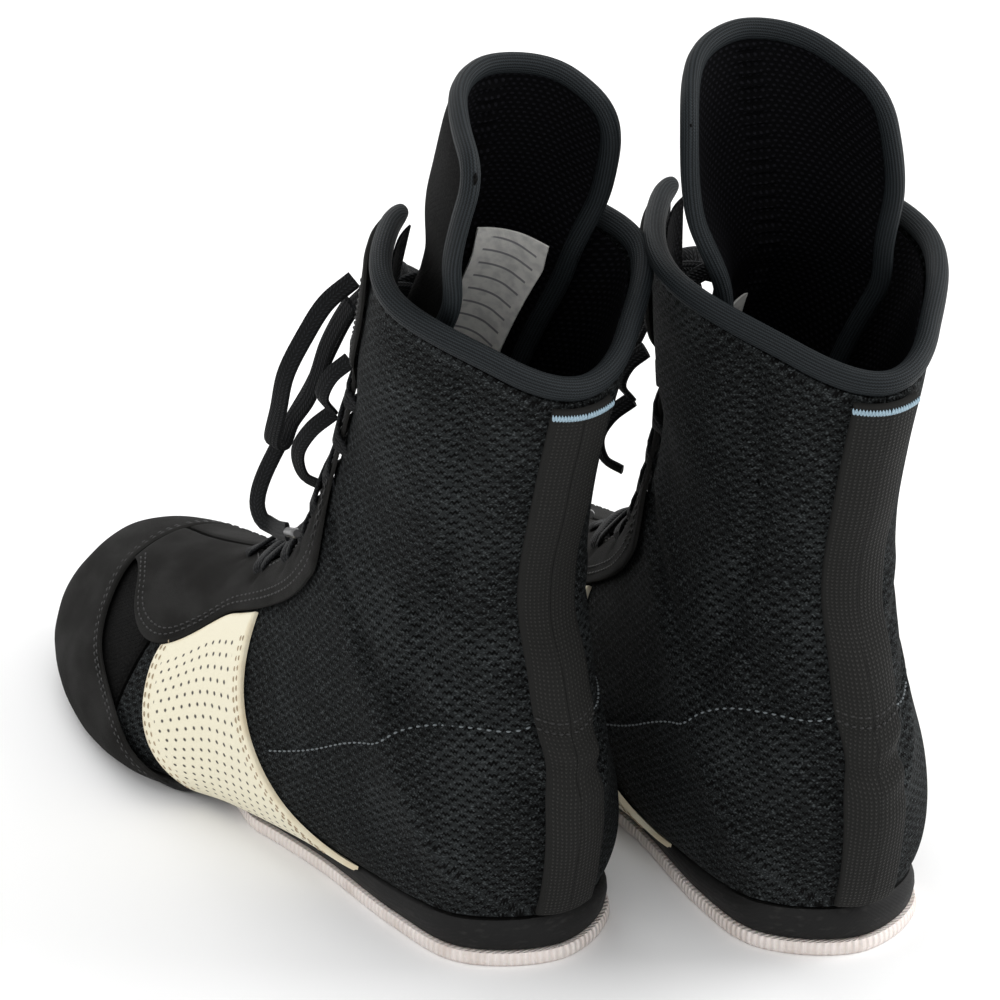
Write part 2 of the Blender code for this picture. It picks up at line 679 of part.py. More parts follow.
def laces(boot):
    """The lace through the eyelets, and the bow: a knot, and a loop and a tail on each side."""
    over = lace_strand(boot, -1, 2.0)
    under = lace_strand(boot, 1, -2.2)
    bar = last_offset(boot, FIRST_EYELET - 0.25, pi, 1.0, LACE_LIFT)
    cord(boot, "lace_run", np.vstack([over[::-1], bar[None, :], under]), LACE_RADIUS)
    knot(boot)
    forward = knot_middle(boot) - knot_middle(LEFT)
    for label, side in SIDES:
        hand = np.array([-side, 1.0, 1.0])
        cord(boot, f"bow_loop_{label}", smooth_route(LOOP_ROUTE, 32) * hand + forward, LACE_RADIUS)
        tail = smooth_route(TAIL_ROUTE, 24) * hand + forward
        cord(boot, f"lace_tail_{label}", tail, LACE_RADIUS)
        run = (tail[-1] - tail[-2]) / np.linalg.norm(tail[-1] - tail[-2])
        tip = np.stack([tail[-1] + run * SHELL_GAP, tail[-1] + run * AGLET_LENGTH])
        cord(boot, f"aglet_{label}", tip, 1.4, "aglet")


def build_boot(boot):
    """Every piece of one boot."""
    soles(boot)
    stiffeners(boot)
    upper_body(boot)
    overlays(boot)
    heel_webbing(boot)
    collar_roll(boot)
    tongue(boot)
    laces(boot)


for old_object in list(bpy.data.objects):
    bpy.data.objects.remove(old_object)
for each_boot in (LEFT, RIGHT):
    build_boot(each_boot)
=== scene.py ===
"""The look of a pair of boxing boots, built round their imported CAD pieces.

Every visible piece is a fine surface on the same last as its CAD piece, in boot millimetres, and
replaces it. Hidden pieces keep their CAD shape and only get a material.
"""
from math import cos, pi, sin
from typing import NamedTuple

import bmesh
import bpy
import numpy as np
from mathutils import Matrix, Vector


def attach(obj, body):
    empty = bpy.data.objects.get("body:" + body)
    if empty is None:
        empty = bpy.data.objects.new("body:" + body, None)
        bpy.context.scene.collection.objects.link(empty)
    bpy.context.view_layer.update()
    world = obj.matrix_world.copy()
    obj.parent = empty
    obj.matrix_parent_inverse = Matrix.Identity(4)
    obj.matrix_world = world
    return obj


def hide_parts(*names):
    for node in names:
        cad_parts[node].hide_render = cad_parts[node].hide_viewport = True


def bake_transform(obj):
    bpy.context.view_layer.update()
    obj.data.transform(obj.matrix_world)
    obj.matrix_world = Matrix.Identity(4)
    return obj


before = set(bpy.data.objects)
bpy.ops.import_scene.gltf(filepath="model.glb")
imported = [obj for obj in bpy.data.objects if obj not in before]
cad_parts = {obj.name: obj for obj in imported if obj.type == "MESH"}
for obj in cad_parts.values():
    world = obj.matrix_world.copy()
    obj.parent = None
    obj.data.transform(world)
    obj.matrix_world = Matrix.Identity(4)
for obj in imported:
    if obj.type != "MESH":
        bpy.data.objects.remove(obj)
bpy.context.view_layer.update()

MM = 0.001
SIDES = (("lateral", -1), ("medial", 1))


# --- Camera and studio ----------------------------------------------------------------------------

CAMERA_PLACE = (-0.526724, -0.880916, 0.516826)
CAMERA_YAW = 0.53872
CAMERA_PITCH = 0.39276
CAMERA_ROLL = -0.03367
CAMERA_LENS = 130.73
STUDIO_MIDDLE = (0.0, 0.0, 0.12)
# Each soft light's place and size in metres, and its power in watts
LIGHTS = {
    "key": ((-0.9, -0.9, 1.3), 0.9, 4.0),
    "fill": ((1.3, -0.7, 0.9), 1.0, 18.0),
    "back": ((0.2, 1.3, 1.1), 1.0, 6.0),
}
FLOOR_REACH = 3.0


def add_camera():
    """The camera, from behind, above and a little to the left of the pair."""
    data = bpy.data.cameras.new("camera")
    data.lens = CAMERA_LENS
    data.sensor_width = 36.0
    camera = bpy.data.objects.new("camera", data)
    bpy.context.collection.objects.link(camera)
    ahead = Vector((sin(CAMERA_YAW), cos(CAMERA_YAW), 0.0))
    forward = ahead * cos(CAMERA_PITCH) - Vector((0.0, 0.0, sin(CAMERA_PITCH)))
    level = Vector((cos(CAMERA_YAW), -sin(CAMERA_YAW), 0.0))
    upright = level.cross(forward)
    right = level * cos(CAMERA_ROLL) + upright * sin(CAMERA_ROLL)
    up = upright * cos(CAMERA_ROLL) - level * sin(CAMERA_ROLL)
    turn = Matrix((right, up, -forward)).transposed().to_4x4()
    camera.matrix_world = Matrix.Translation(CAMERA_PLACE) @ turn
    bpy.context.scene.camera = camera


def add_light(name, place, size, power):
    """A soft square light that faces the middle of the pair."""
    data = bpy.data.lights.new(name, "AREA")
    data.size = size
    data.energy = power
    light = bpy.data.objects.new(name, data)
    bpy.context.collection.objects.link(light)
    light.location = place
    light.rotation_euler = (Vector(STUDIO_MIDDLE) - Vector(place)).to_track_quat("-Z", "Y").to_euler()


def add_studio():
    """A plain pale floor, a pale sky and three soft lights."""
    world = bpy.data.worlds.new("sky")
    world.use_nodes = True
    world.node_tree.nodes["Background"].inputs["Color"].default_value = (1.0, 1.0, 1.0, 1.0)
    world.node_tree.nodes["Background"].inputs["Strength"].default_value = 1.0
    bpy.context.scene.world = world
    bpy.context.scene.view_settings.view_transform = "Standard"
    for name, (place, size, power) in LIGHTS.items():
        add_light(name, place, size, power)
    data = bpy.data.meshes.new("floor")
    corners = [(x * FLOOR_REACH, y * FLOOR_REACH, 0) for x, y in ((-1, -1), (1, -1), (1, 1), (-1, 1))]
    data.from_pydata(corners, [], [(0, 1, 2, 3)])
    floor = bpy.data.objects.new("floor", data)
    bpy.context.collection.objects.link(floor)
    data.materials.append(Nodes("floor", (0.90, 0.90, 0.90), 0.7).material)


# --- Materials ------------------------------------------------------------------------------------

class Nodes:
    """A material whose nodes are written as expressions. Texture places are in millimetres."""

    def __init__(self, name, colour, roughness, **sockets):
        self.material = bpy.data.materials.new(name)
        self.material.use_nodes = True
        self.tree = self.material.node_tree
        self.shader = self.tree.nodes["Principled BSDF"]
        self.set("Base Color", (*colour, 1.0))
        self.set("Roughness", roughness)
        for socket, value in sockets.items():
            self.set(socket.replace("_", " "), value)

    def feed(self, socket, value):
        """Link a socket or set a value."""
        if isinstance(value, bpy.types.NodeSocket):
            self.tree.links.new(value, socket)
        elif isinstance(value, tuple) and len(value) == 3 and socket.type == "RGBA":
            socket.default_value = (*value, 1.0)
        else:
            socket.default_value = value

    def set(self, socket, value):
        """Feed one of the shader's own sockets."""
        self.feed(self.shader.inputs[socket], value)

    def node(self, kind, inputs, output=0, **settings):
        """Add a node with named or numbered inputs, and give one of its outputs."""
        made = self.tree.nodes.new("ShaderNode" + kind)
        for setting, value in settings.items():
            setattr(made, setting, value)
        for socket, value in inputs.items():
            self.feed(made.inputs[socket], value)
        return made.outputs[output]

    def math(self, operation, *values):
        """A Math node of up to three values."""
        return self.node("Math", dict(enumerate(values)), operation=operation)

    def places(self):
        """The piece's own texture place, across and along, in mm."""
        split = self.node("SeparateXYZ", {0: self.node("UVMap", {}, uv_map="mm")})
        return split, split.node.outputs[1]

    def edge(self):
        """The distance from the piece's nearest edge, in mm."""
        return self.node("Attribute", {}, "Fac", attribute_name="edge")

    def noise(self, size, detail=2.0, stretch=(1.0, 1.0, 1.0)):
        """Noise from 0 to 1 with features of a size in mm, fixed to the piece."""
        place = self.node("TexCoord", {}, "Object")
        place = self.node("VectorMath", {0: place, 1: stretch}, operation="MULTIPLY")
        return self.node("TexNoise", {"Vector": place, "Scale": 1.0 / (size * MM), "Detail": detail})

    def between(self, value, low, high, from_low=0.0, from_high=1.0):
        """A value eased from low to high as it goes from from_low to from_high."""
        inputs = {"Value": value, "From Min": from_low, "From Max": from_high, "To Min": low, "To Max": high}
        return self.node("MapRange", inputs, interpolation_type="SMOOTHSTEP")

    def mix(self, share, start, end):
        """A colour part of the way from start to end."""
        return self.node("Mix", {0: share, 6: start, 7: end}, 2, data_type="RGBA")

    def wave(self, value, pitch):
        """A wave from 0 to 1 that repeats every so many mm."""
        turned = self.math("SINE", self.math("MULTIPLY", value, 2 * pi / pitch))
        return self.math("MULTIPLY_ADD", turned, 0.5, 0.5)

    def cells(self, across, along, pitch_across, pitch_along):
        """Where a place lies in its cell of a brick pattern, from -0.5 to 0.5 both ways."""
        row = self.math("DIVIDE", along, pitch_along)
        stagger = self.math("MULTIPLY", self.math("FLOORED_MODULO", self.math("FLOOR", row), 2.0), 0.5)
        column = self.math("ADD", self.math("DIVIDE", across, pitch_across), stagger)
        return (self.math("SUBTRACT", self.math("FRACT", column), 0.5),
                self.math("SUBTRACT", self.math("FRACT", row), 0.5))

    def spot(self, across, along, pitches, half_size, wiggle=0.0, waves=1.0):
        """1 in the middle of an oval in each cell of a brick pattern, and 0 outside it."""
        x, y = self.cells(across, along, *pitches)
        bend = self.math("MULTIPLY", self.math("SINE", self.math("MULTIPLY", x, 2 * pi * waves)), wiggle)
        x = self.math("MULTIPLY", x, pitches[0] / half_size[0])
        y = self.math("MULTIPLY", self.math("ADD", y, bend), pitches[1] / half_size[1])
        distance = self.math("SQRT", self.math("ADD", self.math("MULTIPLY", x, x),
                                               self.math("MULTIPLY", y, y)))
        return self.between(distance, 1.0, 0.0, 0.55, 1.35)

    def finish(self, colour, roughness, depth, *heights):
        """Set the colour and roughness, raise the surface by (value, weight) heights, and give the material.

        The surface rises by depth (mm) where the weighted values add up to 1.
        """
        self.set("Base Color", colour)
        self.set("Roughness", roughness)
        total = 0.0
        for value, weight in heights:
            total = self.math("MULTIPLY_ADD", value, weight, total)
        self.set("Normal", self.node("Bump", {"Height": total, "Distance": depth * MM, "Strength": 1.0}))
        return self.material


def mesh_look(name, cloth, pitches, half_size, depth):
    """Knitted sandwich mesh: staggered rows of wavy slits in a fine knit, with paler fibres."""
    nodes = Nodes(name, cloth, 0.6, Specular_IOR_Level=0.08)
    across, along = nodes.places()
    drift = nodes.noise(2.2, 2.0)
    wobble = nodes.math("MULTIPLY_ADD", drift, 0.9, along)
    slit = nodes.spot(across, wobble, pitches, half_size, 0.16, pitches[0] / 1.15)
    loops = nodes.wave(nodes.math("MULTIPLY_ADD", nodes.wave(across, 0.9), 0.32, wobble), pitches[1] / 3)
    fibres = nodes.noise(0.8, 4.0, (1.0, 1.0, 1.6))
    shade = nodes.noise(30.0, 2.0)
    deep = tuple(c * 0.25 for c in cloth)
    pale = tuple(min(c * 9.0, 1.0) for c in cloth)
    colour = nodes.mix(nodes.between(loops, 0.8, 0.0, 0.0, 0.7), cloth, deep)
    colour = nodes.mix(nodes.between(fibres, 0.0, 0.55, 0.50, 0.72), colour, pale)
    colour = nodes.mix(nodes.between(shade, 0.0, 0.12, 0.45, 0.75), colour, pale)
    colour = nodes.mix(slit, colour, (0.001, 0.001, 0.001))
    roughness = nodes.between(fibres, 0.95, 0.75)
    return nodes.finish(colour, roughness, depth, (slit, -1.0), (loops, 0.3), (fibres, 0.35))


def suede_look():
    """Microsuede: a short nap, brushed lighter in patches and worn paler at its edges."""
    base = (0.0070, 0.0067, 0.0060)
    brushed = (0.022, 0.0217, 0.0210)
    nodes = Nodes("suede", base, 0.9, Specular_IOR_Level=0.06, Sheen_Weight=0.01)
    nap = nodes.noise(0.35, 4.0)
    patches = nodes.noise(14.0, 3.0, (1.0, 0.5, 1.0))
    colour = nodes.mix(nodes.between(patches, 0.0, 0.8, 0.35, 0.7), base, brushed)
    colour = nodes.mix(nodes.between(nodes.edge(), 0.45, 0.0, 0.0, 1.4), colour, brushed)
    colour = nodes.mix(nodes.between(nap, 0.0, 0.45, 0.4, 0.7), colour, base)
    return nodes.finish(colour, nodes.between(nap, 0.8, 0.98), 0.16, (nap, 1.0), (patches, 0.5))


def leather_look():
    """Cream leather with a fine grain, a perforated middle, and soiling towards its edges."""
    cream = (0.78, 0.73, 0.56)
    soiled = (0.60, 0.48, 0.30)
    nodes = Nodes("leather", cream, 0.42, Coat_Weight=0.05)
    across, along = nodes.places()
    dot = nodes.spot(across, along, (4.2, 3.6), (0.62, 0.62))
    inside = nodes.between(nodes.edge(), 0.0, 1.0, 6.2, 6.8)
    dot = nodes.math("MULTIPLY", dot, inside)
    grain = nodes.node("TexVoronoi", {"Vector": nodes.node("TexCoord", {}, "Object"), "Scale": 1400.0})
    patches = nodes.noise(9.0, 4.0)
    dirt = nodes.math("MULTIPLY", nodes.between(nodes.edge(), 1.0, 0.25, 0.0, 3.5), patches)
    colour = nodes.mix(nodes.between(dirt, 0.0, 0.8, 0.25, 0.75), cream, soiled)
    colour = nodes.mix(dot, colour, (0.03, 0.025, 0.02))
    roughness = nodes.between(patches, 0.36, 0.55)
    return nodes.finish(colour, roughness, 0.22, (grain, 0.25), (patches, 0.3), (dot, -1.0))


def webbing_look():
    """Ribbed grosgrain: ribs across the strap, fine yarns along it and a plain woven edge."""
    black = (0.0100, 0.0100, 0.0094)
    worn = (0.040, 0.040, 0.037)
    nodes = Nodes("webbing", black, 0.6, Specular_IOR_Level=0.12)
    across, along = nodes.places()
    yarns = nodes.wave(across, 1.15)
    ribs = nodes.wave(nodes.math("MULTIPLY_ADD", yarns, 0.5, along), 1.2)
    selvedge = nodes.between(nodes.edge(), 0.0, 1.0, 0.7, 1.3)
    fibres = nodes.noise(0.4, 3.0)
    ribbed = nodes.math("MULTIPLY", nodes.math("MULTIPLY", ribs, yarns), selvedge)
    colour = nodes.mix(nodes.between(ribbed, 0.0, 0.7, 0.3, 1.0), black, worn)
    colour = nodes.mix(nodes.between(fibres, 0.0, 0.5, 0.4, 0.7), colour, black)
    return nodes.finish(colour, nodes.between(ribbed, 0.75, 0.5), 0.30, (ribbed, 1.0), (fibres, 0.3))


def tape_look():
    """Knitted binding tape: fine slanting ribs with a soft shine."""
    deep = (0.0050, 0.0062, 0.0070)
    light = (0.026, 0.032, 0.036)
    nodes = Nodes("tape", deep, 0.55, Specular_IOR_Level=0.12)
    across, along = nodes.places()
    stitches = nodes.wave(along, 0.7)
    slant = nodes.wave(nodes.math("MULTIPLY_ADD", stitches, 0.2, across), 0.85)
    fibres = nodes.noise(0.4, 3.0)
    colour = nodes.mix(nodes.between(slant, 0.0, 0.7, 0.2, 1.0), deep, light)
    colour = nodes.mix(nodes.between(fibres, 0.0, 0.5, 0.45, 0.8), colour, deep)
    roughness = nodes.between(fibres, 0.45, 0.7)
    return nodes.finish(colour, roughness, 0.14, (slant, 0.8), (stitches, 0.35), (fibres, 0.3))


def lining_look():
    """Black tricot lining with a small dotted relief."""
    black = (0.0018, 0.0018, 0.0022)
    dots = (0.013, 0.013, 0.016)
    nodes = Nodes("lining", black, 0.8, Specular_IOR_Level=0.03)
    across, along = nodes.places()
    dot = nodes.spot(across, along, (2.3, 1.6), (0.62, 0.42))
    fibres = nodes.noise(0.4, 3.0)
    colour = nodes.mix(nodes.math("MULTIPLY", dot, fibres), black, dots)
    return nodes.finish(colour, nodes.between(fibres, 0.7, 0.92), 0.22, (dot, 1.0), (fibres, 0.4))


def label_look():
    """A pale woven label, printed with plain grey rules."""
    pale = (0.92, 0.91, 0.87)
    grey = (0.16, 0.16, 0.18)
    nodes = Nodes("label", pale, 0.5)
    across, along = nodes.places()
    weave = nodes.math("MULTIPLY", nodes.wave(across, 0.45), nodes.wave(along, 0.45))
    rule = nodes.between(nodes.wave(along, 5.2), 0.0, 0.8, 0.93, 0.97)
    inside = nodes.between(nodes.edge(), 0.0, 1.0, 2.4, 2.7)
    fade = nodes.noise(3.0, 3.0)
    colour = nodes.mix(nodes.between(fade, 0.0, 0.25, 0.4, 0.7), pale, grey)
    colour = nodes.mix(nodes.math("MULTIPLY", rule, inside), colour, grey)
    return nodes.finish(colour, nodes.between(fade, 0.42, 0.6), 0.06, (weave, 1.0))


def lace_look():
    """Flat braid: two slanting sets of yarns that meet at the middle."""
    black = (0.0045, 0.0048, 0.0052)
    light = (0.022, 0.024, 0.027)
    nodes = Nodes("lace", black, 0.6, Specular_IOR_Level=0.10)
    across, along = nodes.places()
    fold = nodes.math("ABSOLUTE", nodes.math("SUBTRACT", nodes.math("FLOORED_MODULO", across, 7.0), 3.5))
    yarns = nodes.wave(nodes.math("ADD", along, fold), 1.25)
    strands = nodes.wave(across, 1.2)
    fibres = nodes.noise(0.4, 3.0)
    raised = nodes.math("MULTIPLY", yarns, strands)
    colour = nodes.mix(nodes.between(raised, 0.0, 0.8, 0.2, 0.9), black, light)
    colour = nodes.mix(nodes.between(fibres, 0.0, 0.4, 0.4, 0.7), colour, black)
    return nodes.finish(colour, nodes.between(fibres, 0.5, 0.75), 0.3, (raised, 1.0), (fibres, 0.25))


def rubber_look():
    """Matte black rubber with fine moulding lines and scuffs."""
    black = (0.0095, 0.0095, 0.0095)
    scuffed = (0.034, 0.034, 0.032)
    nodes = Nodes("rubber", black, 0.55, Specular_IOR_Level=0.14)
    _, along = nodes.places()
    grain = nodes.noise(0.3, 3.0)
    scuffs = nodes.noise(4.0, 5.0, (1.0, 1.0, 3.0))
    lines = nodes.wave(along, 1.3)
    colour = nodes.mix(nodes.between(scuffs, 0.0, 0.6, 0.52, 0.78), black, scuffed)
    roughness = nodes.between(scuffs, 0.48, 0.72)
    return nodes.finish(colour, roughness, 0.1, (grain, 0.6), (lines, 0.35), (scuffs, 0.4))


def outsole_look():
    """Pale rubber with a fine serrated edge and dust worked into it."""
    pale = (0.80, 0.72, 0.68)
    dusty = (0.55, 0.46, 0.41)
    nodes = Nodes("outsole", pale, 0.6, Subsurface_Weight=0.04)
    across, _ = nodes.places()
    teeth = nodes.wave(across, 2.1)
    specks = nodes.noise(0.6, 4.0)
    stains = nodes.noise(11.0, 4.0)
    colour = nodes.mix(nodes.between(stains, 0.0, 0.6, 0.45, 0.75), pale, dusty)
    colour = nodes.mix(nodes.between(teeth, 0.35, 0.0, 0.0, 0.4), colour, dusty)
    colour = nodes.mix(nodes.between(specks, 0.0, 0.35, 0.58, 0.75), colour, dusty)
    return nodes.finish(colour, nodes.between(stains, 0.5, 0.75), 0.35, (teeth, 1.0), (specks, 0.2))


def plain_look(name, colour, roughness, feature, depth):
    """A grained material for small and hidden pieces: thread, board, foam, stiffener and aglets."""
    nodes = Nodes(name, colour, roughness)
    grain = nodes.noise(feature, 4.0)
    dark = tuple(c * 0.55 for c in colour)
    mixed = nodes.mix(nodes.between(grain, 0.0, 0.8, 0.35, 0.7), colour, dark)
    varied = nodes.between(grain, roughness * 0.85, min(roughness * 1.15, 1.0))
    return nodes.finish(mixed, varied, depth, (grain, 1.0))


LOOKS = {
    "mesh": mesh_look("mesh", (0.0115, 0.0130, 0.0134), (5.3, 1.65), (1.7, 0.44), 0.6),
    "fine_mesh": mesh_look("fine_mesh", (0.0016, 0.0016, 0.0015), (1.9, 1.2), (0.45, 0.22), 0.3),
    "suede": suede_look(),
    "leather": leather_look(),
    "webbing": webbing_look(),
    "tape": tape_look(),
    "lining": lining_look(),
    "label": label_look(),
    "lace": lace_look(),
    "rubber": rubber_look(),
    "outsole": outsole_look(),
    "aglet": plain_look("aglet", (0.010, 0.010, 0.011), 0.30, 1.2, 0.03),
    "board": plain_look("board", (0.42, 0.33, 0.24), 0.90, 0.8, 0.10),
    "foam": plain_look("foam", (0.040, 0.041, 0.044), 0.90, 0.7, 0.12),
    "stiffener": plain_look("stiffener", (0.55, 0.52, 0.46), 0.75, 0.9, 0.08),
    "black_thread": plain_look("black_thread", (0.008, 0.008, 0.008), 0.55, 0.3, 0.05),
    "grey_thread": plain_look("grey_thread", (0.14, 0.16, 0.17), 0.60, 0.3, 0.05),
    "blue_thread": plain_look("blue_thread", (0.30, 0.42, 0.50), 0.60, 0.3, 0.05),
    "tan_thread": plain_look("tan_thread", (0.42, 0.33, 0.22), 0.60, 0.3, 0.05),
}


# --- The last -------------------------------------------------------------------------------------
# The same last as the CAD's, in boot mm: stations from the toe tip (0) over the heel (9) to the collar
# (14). A place is a station, an angle (0 at the sole or the back seam, pi at the front) and a side.
#  (low y, z), (high y, z), (half widths at the start, 1/8, 1/2 and 7/8 of the way up), (shift low, high)
PAIR_CENTRE = (51.1, 109.2)
STATIONS = (
    ((283, 12.5), (283, 27), (0, 0, 0, 0), (3, 3)),
    ((269, 9.5), (265, 41), (27, 29, 26, 14), (3.5, 3)),
    ((243, 5.5), (237, 50), (38.5, 42.5, 34.5, 19.5), (3, 2)),
    ((208, 4.2), (203, 57), (46, 48, 41, 22), (-1, 0)),
    ((168, 4.8), (166, 67), (44, 49, 39, 21), (-3, 0)),
    ((128, 7.5), (138, 80), (34, 40, 36, 21), (-2, 0)),
    ((86, 10), (118, 94), (29.5, 37, 35, 22), (-1, 0)),
    ((42, 13), (106, 108), (29.5, 35, 35, 24), (0, 0)),
    ((13, 14.5), (97, 123), (24, 31.5, 34.5, 25), (0, 0)),
    ((-1, 15), (90, 136), (0, 31.5, 33.5, 24), (0, 0)),
    ((-11.5, 48), (85, 148), (0, 19, 27.5, 22), (0, 0)),
    ((-6, 84), (79, 161), (0, 16, 27, 20.5), (0, 0)),
    ((1.5, 112), (72, 175), (0, 21, 29, 22), (0, 0)),
    ((-10, 148), (62, 194), (0, 19.5, 32.5, 24), (0, 0)),
    ((-23, 182), (47, 220), (0, 21.5, 40, 26.5), (0, 0)),
)
HEEL_BACK = 9.0
COLLAR = 14.0
COLLAR_RISE = 0.14
UPPER_TOP = COLLAR - 0.2
RISE_FROM = 12.0
EYESTAY_START = 2.32
MIDDLE_GAP = 0.03
THROAT = 3.7
VAMP_REAR = 3.56
QUARTER_FRONT = 3.6
FEATHER_LIFT = 0.45
LEAN_FROM = 20.0
LEAN_TO = 185.0
SHELL_GAP = 0.35
OVERLAY = (1.3, 2.5)
STRAP = (1.3, 2.6)
LINING = (-5.5, -4.6)
LABEL = (-12.5, -11.8)
LABEL_ROOT = 12.0


class Boot(NamedTuple):
    """One boot of the pair: where it stands, which way it is handed, and how its soft top rests."""

    name: str
    mirror: int
    place: tuple
    turn: float
    opening: float
    lean: float
    slump: float
    tongue_lean: float
    tongue_sway: float
    tongue_curl: float
    label_top: float

    @property
    def body(self):
        """The body that the boot's pieces ride on."""
        return f"{self.name}_boot"

    @property
    def flap(self):
        """The body of the tongue's folding part."""
        return f"{self.name}_tongue_flap"

    def world(self, points):
        """Boot millimetres to world metres."""
        sideways = self.lean * np.clip((points[..., 2] - LEAN_FROM) / (LEAN_TO - LEAN_FROM), 0.0, None)
        x = (points[..., 0] + sideways) * self.mirror
        y = points[..., 1]
        cosine, sine = cos(self.turn), sin(self.turn)
        place = np.array(self.place) - PAIR_CENTRE
        across = place[0] + cosine * x - sine * y
        along = place[1] + sine * x + cosine * y
        return np.stack([across, along, points[..., 2]], -1) * MM


LEFT = Boot("left", 1, place=(0.0, 0.0), turn=0.0, opening=0.0, lean=0.0, slump=4.5,
            tongue_lean=0.47, tongue_sway=-0.07, tongue_curl=24.0, label_top=13.6)
RIGHT = Boot("right", -1, place=(72.1, -45.1), turn=-0.162, opening=36.0, lean=3.0, slump=26.0,
             tongue_lean=0.21, tongue_sway=0.18, tongue_curl=0.0, label_top=12.65)


def catmull(before, start, end, after, u):
    """A smooth curve from start to end through its neighbours, at u from 0 to 1."""
    return 0.5 * (2 * start + (end - before) * u + (2 * before - 5 * start + 4 * end - after) * u**2
                  + (3 * start - before - 3 * end + after) * u**3)


def station_table(boot):
    """The stations as rows of ten numbers, with the collar opened forward by the boot's own amount."""
    rows = np.array([[*low, *high, *widths, *shift] for low, high, widths, shift in STATIONS], float)
    rise = np.clip((np.arange(len(rows)) - 7.0) / 7.0, 0.0, 1.0) ** 2
    rows[:, 2] += boot.opening * rise
    rows[:, 3] -= 0.2 * boot.opening * rise
    first = rows[1].copy()
    first[4:8] *= -1.0
    return np.vstack([first, rows, 2 * rows[-1] - rows[-2]])


def last_point(boot, station, angle, side):
    """A point of the last in boot millimetres."""
    table = station_table(boot)
    station, angle, side = np.broadcast_arrays(*(np.asarray(v, float) for v in (station, angle, side)))
    index = np.clip(np.floor(station).astype(int), 0, len(STATIONS) - 2)
    before, start, end, after = (table[index + step] for step in range(4))
    at_heel = (index == HEEL_BACK - 1)[..., None]
    after[..., :2] = np.where(at_heel, start[..., :2], after[..., :2])
    after[..., 4:5] = np.where(at_heel, -start[..., 4:5], after[..., 4:5])
    before[..., 4] = np.where(index == HEEL_BACK, 0.0, before[..., 4])
    row = catmull(before, start, end, after, (station - index)[..., None])
    start, low, middle, high = (row[..., 4 + k] for k in range(4))
    widths = np.stack([2 * start - low, start, low, middle, high, 0 * high, -high], -1)
    steps = np.clip(angle / (pi / 4), 0.0, 4.0)
    cell = np.clip(np.floor(steps).astype(int), 0, 3)
    picked = [np.take_along_axis(widths, (cell + step)[..., None], -1)[..., 0] for step in range(4)]
    half_width = catmull(*picked, steps - cell)
    rise = (1 - np.cos(angle)) / 2
    x = row[..., 8] * (1 - rise) + row[..., 9] * rise + side * half_width
    y = row[..., 0] * (1 - rise) + row[..., 2] * rise
    z = row[..., 1] * (1 - rise) + row[..., 3] * rise
    return np.stack([x, y, z], -1)


def unit(vectors):
    """Vectors made one long."""
    return vectors / np.maximum(np.linalg.norm(vectors, axis=-1, keepdims=True), 1e-12)


def last_normal(boot, station, angle, side):
    """The outward unit normal of the last."""
    step = 0.02
    along = last_point(boot, station + step, angle, side) - last_point(boot, station - step, angle, side)
    angle_in = np.clip(angle, step, pi - step)
    above = last_point(boot, station, angle_in + step, side)
    around = above - last_point(boot, station, angle_in - step, side)
    normal = np.cross(around, along) * np.asarray(side, float)[..., None]
    on_middle = (angle >= pi - 1e-6) | ((angle <= 1e-6) & (station >= HEEL_BACK - 1e-6))
    normal[..., 0] = np.where(on_middle, 0.0, normal[..., 0])
    tip_normal = np.stack([0 * angle, 0 * angle + 1.0, np.maximum(-np.cos(angle), 0.0)], -1)
    return unit(np.where((station <= 1e-6)[..., None], tip_normal, normal))


def last_offset(boot, station, angle, side, depth):
    """A point at a distance outside (or, below zero, inside) the last's surface."""
    station, angle, side = np.broadcast_arrays(*(np.asarray(v, float) for v in (station, angle, side)))
    depth = np.asarray(depth, float)[..., None]
    return last_point(boot, station, angle, side) + last_normal(boot, station, angle, side) * depth


def blend(start, end, share):
    """A value part of the way from start to end."""
    return start + (end - start) * share


def smooth_step(value, start, end):
    """0 before start, 1 after end, and smooth between."""
    share = np.clip((value - start) / (end - start), 0.0, 1.0)
    return share * share * (3 - 2 * share)


def throat_edge(station):
    """The angle where the upper stops beside the lacing; the upper is whole before the throat."""
    return pi - 0.50 * smooth_step(station, THROAT - 0.1, THROAT + 1.5)


def collar_edge(angle):
    """The station of the collar's edge, which rises a little at the boot's sides."""
    return UPPER_TOP + COLLAR_RISE * np.sin(angle) ** 2


def raised_to_collar(station, angle):
    """Stations that rise with the collar's edge towards the top of the upper."""
    share = np.clip(station - RISE_FROM, 0.0, None) / (UPPER_TOP - RISE_FROM)
    return station + share * COLLAR_RISE * np.sin(angle) ** 2


def eyestay_edge(station):
    """The eyestay's outer edge: it spreads over the vamp, narrows up the shaft and widens at the collar."""
    vamp = blend(2.44, 1.80, smooth_step(station, 2.3, 3.7))
    instep = blend(vamp, 2.17, smooth_step(station, 3.7, 4.9))
    shaft = blend(instep, 2.54, smooth_step(station, 7.8, 9.4))
    return blend(shaft, 2.02, smooth_step(station, 10.8, 13.8))


def toe_cap_rear(angle):
    """The station of the toe cap's rear edge, which sweeps back towards the sole."""
    return blend(4.35, 2.3, smooth_step(angle, 0.2, 2.5))


def panel_front(angle):
    """The station of the side panel's front edge."""
    return blend(4.62, 3.86, smooth_step(angle, 0.1, 1.75))


def panel_rear(angle):
    """The station of the side panel's rear edge, which runs out along the sole."""
    return 5.45 + 1.35 * (1 - smooth_step(angle, -0.5, 2.1)) ** 1.5


# --- Lines on the last ----------------------------------------------------------------------------

def even_lengths(points, step):
    """The length along a line at each of its points, and lengths at even steps along it."""
    length = np.concatenate([[0.0], np.cumsum(np.linalg.norm(np.diff(points, axis=0), axis=1))])
    return length, np.linspace(0.0, length[-1], max(int(round(length[-1] / step)), 2) + 1)


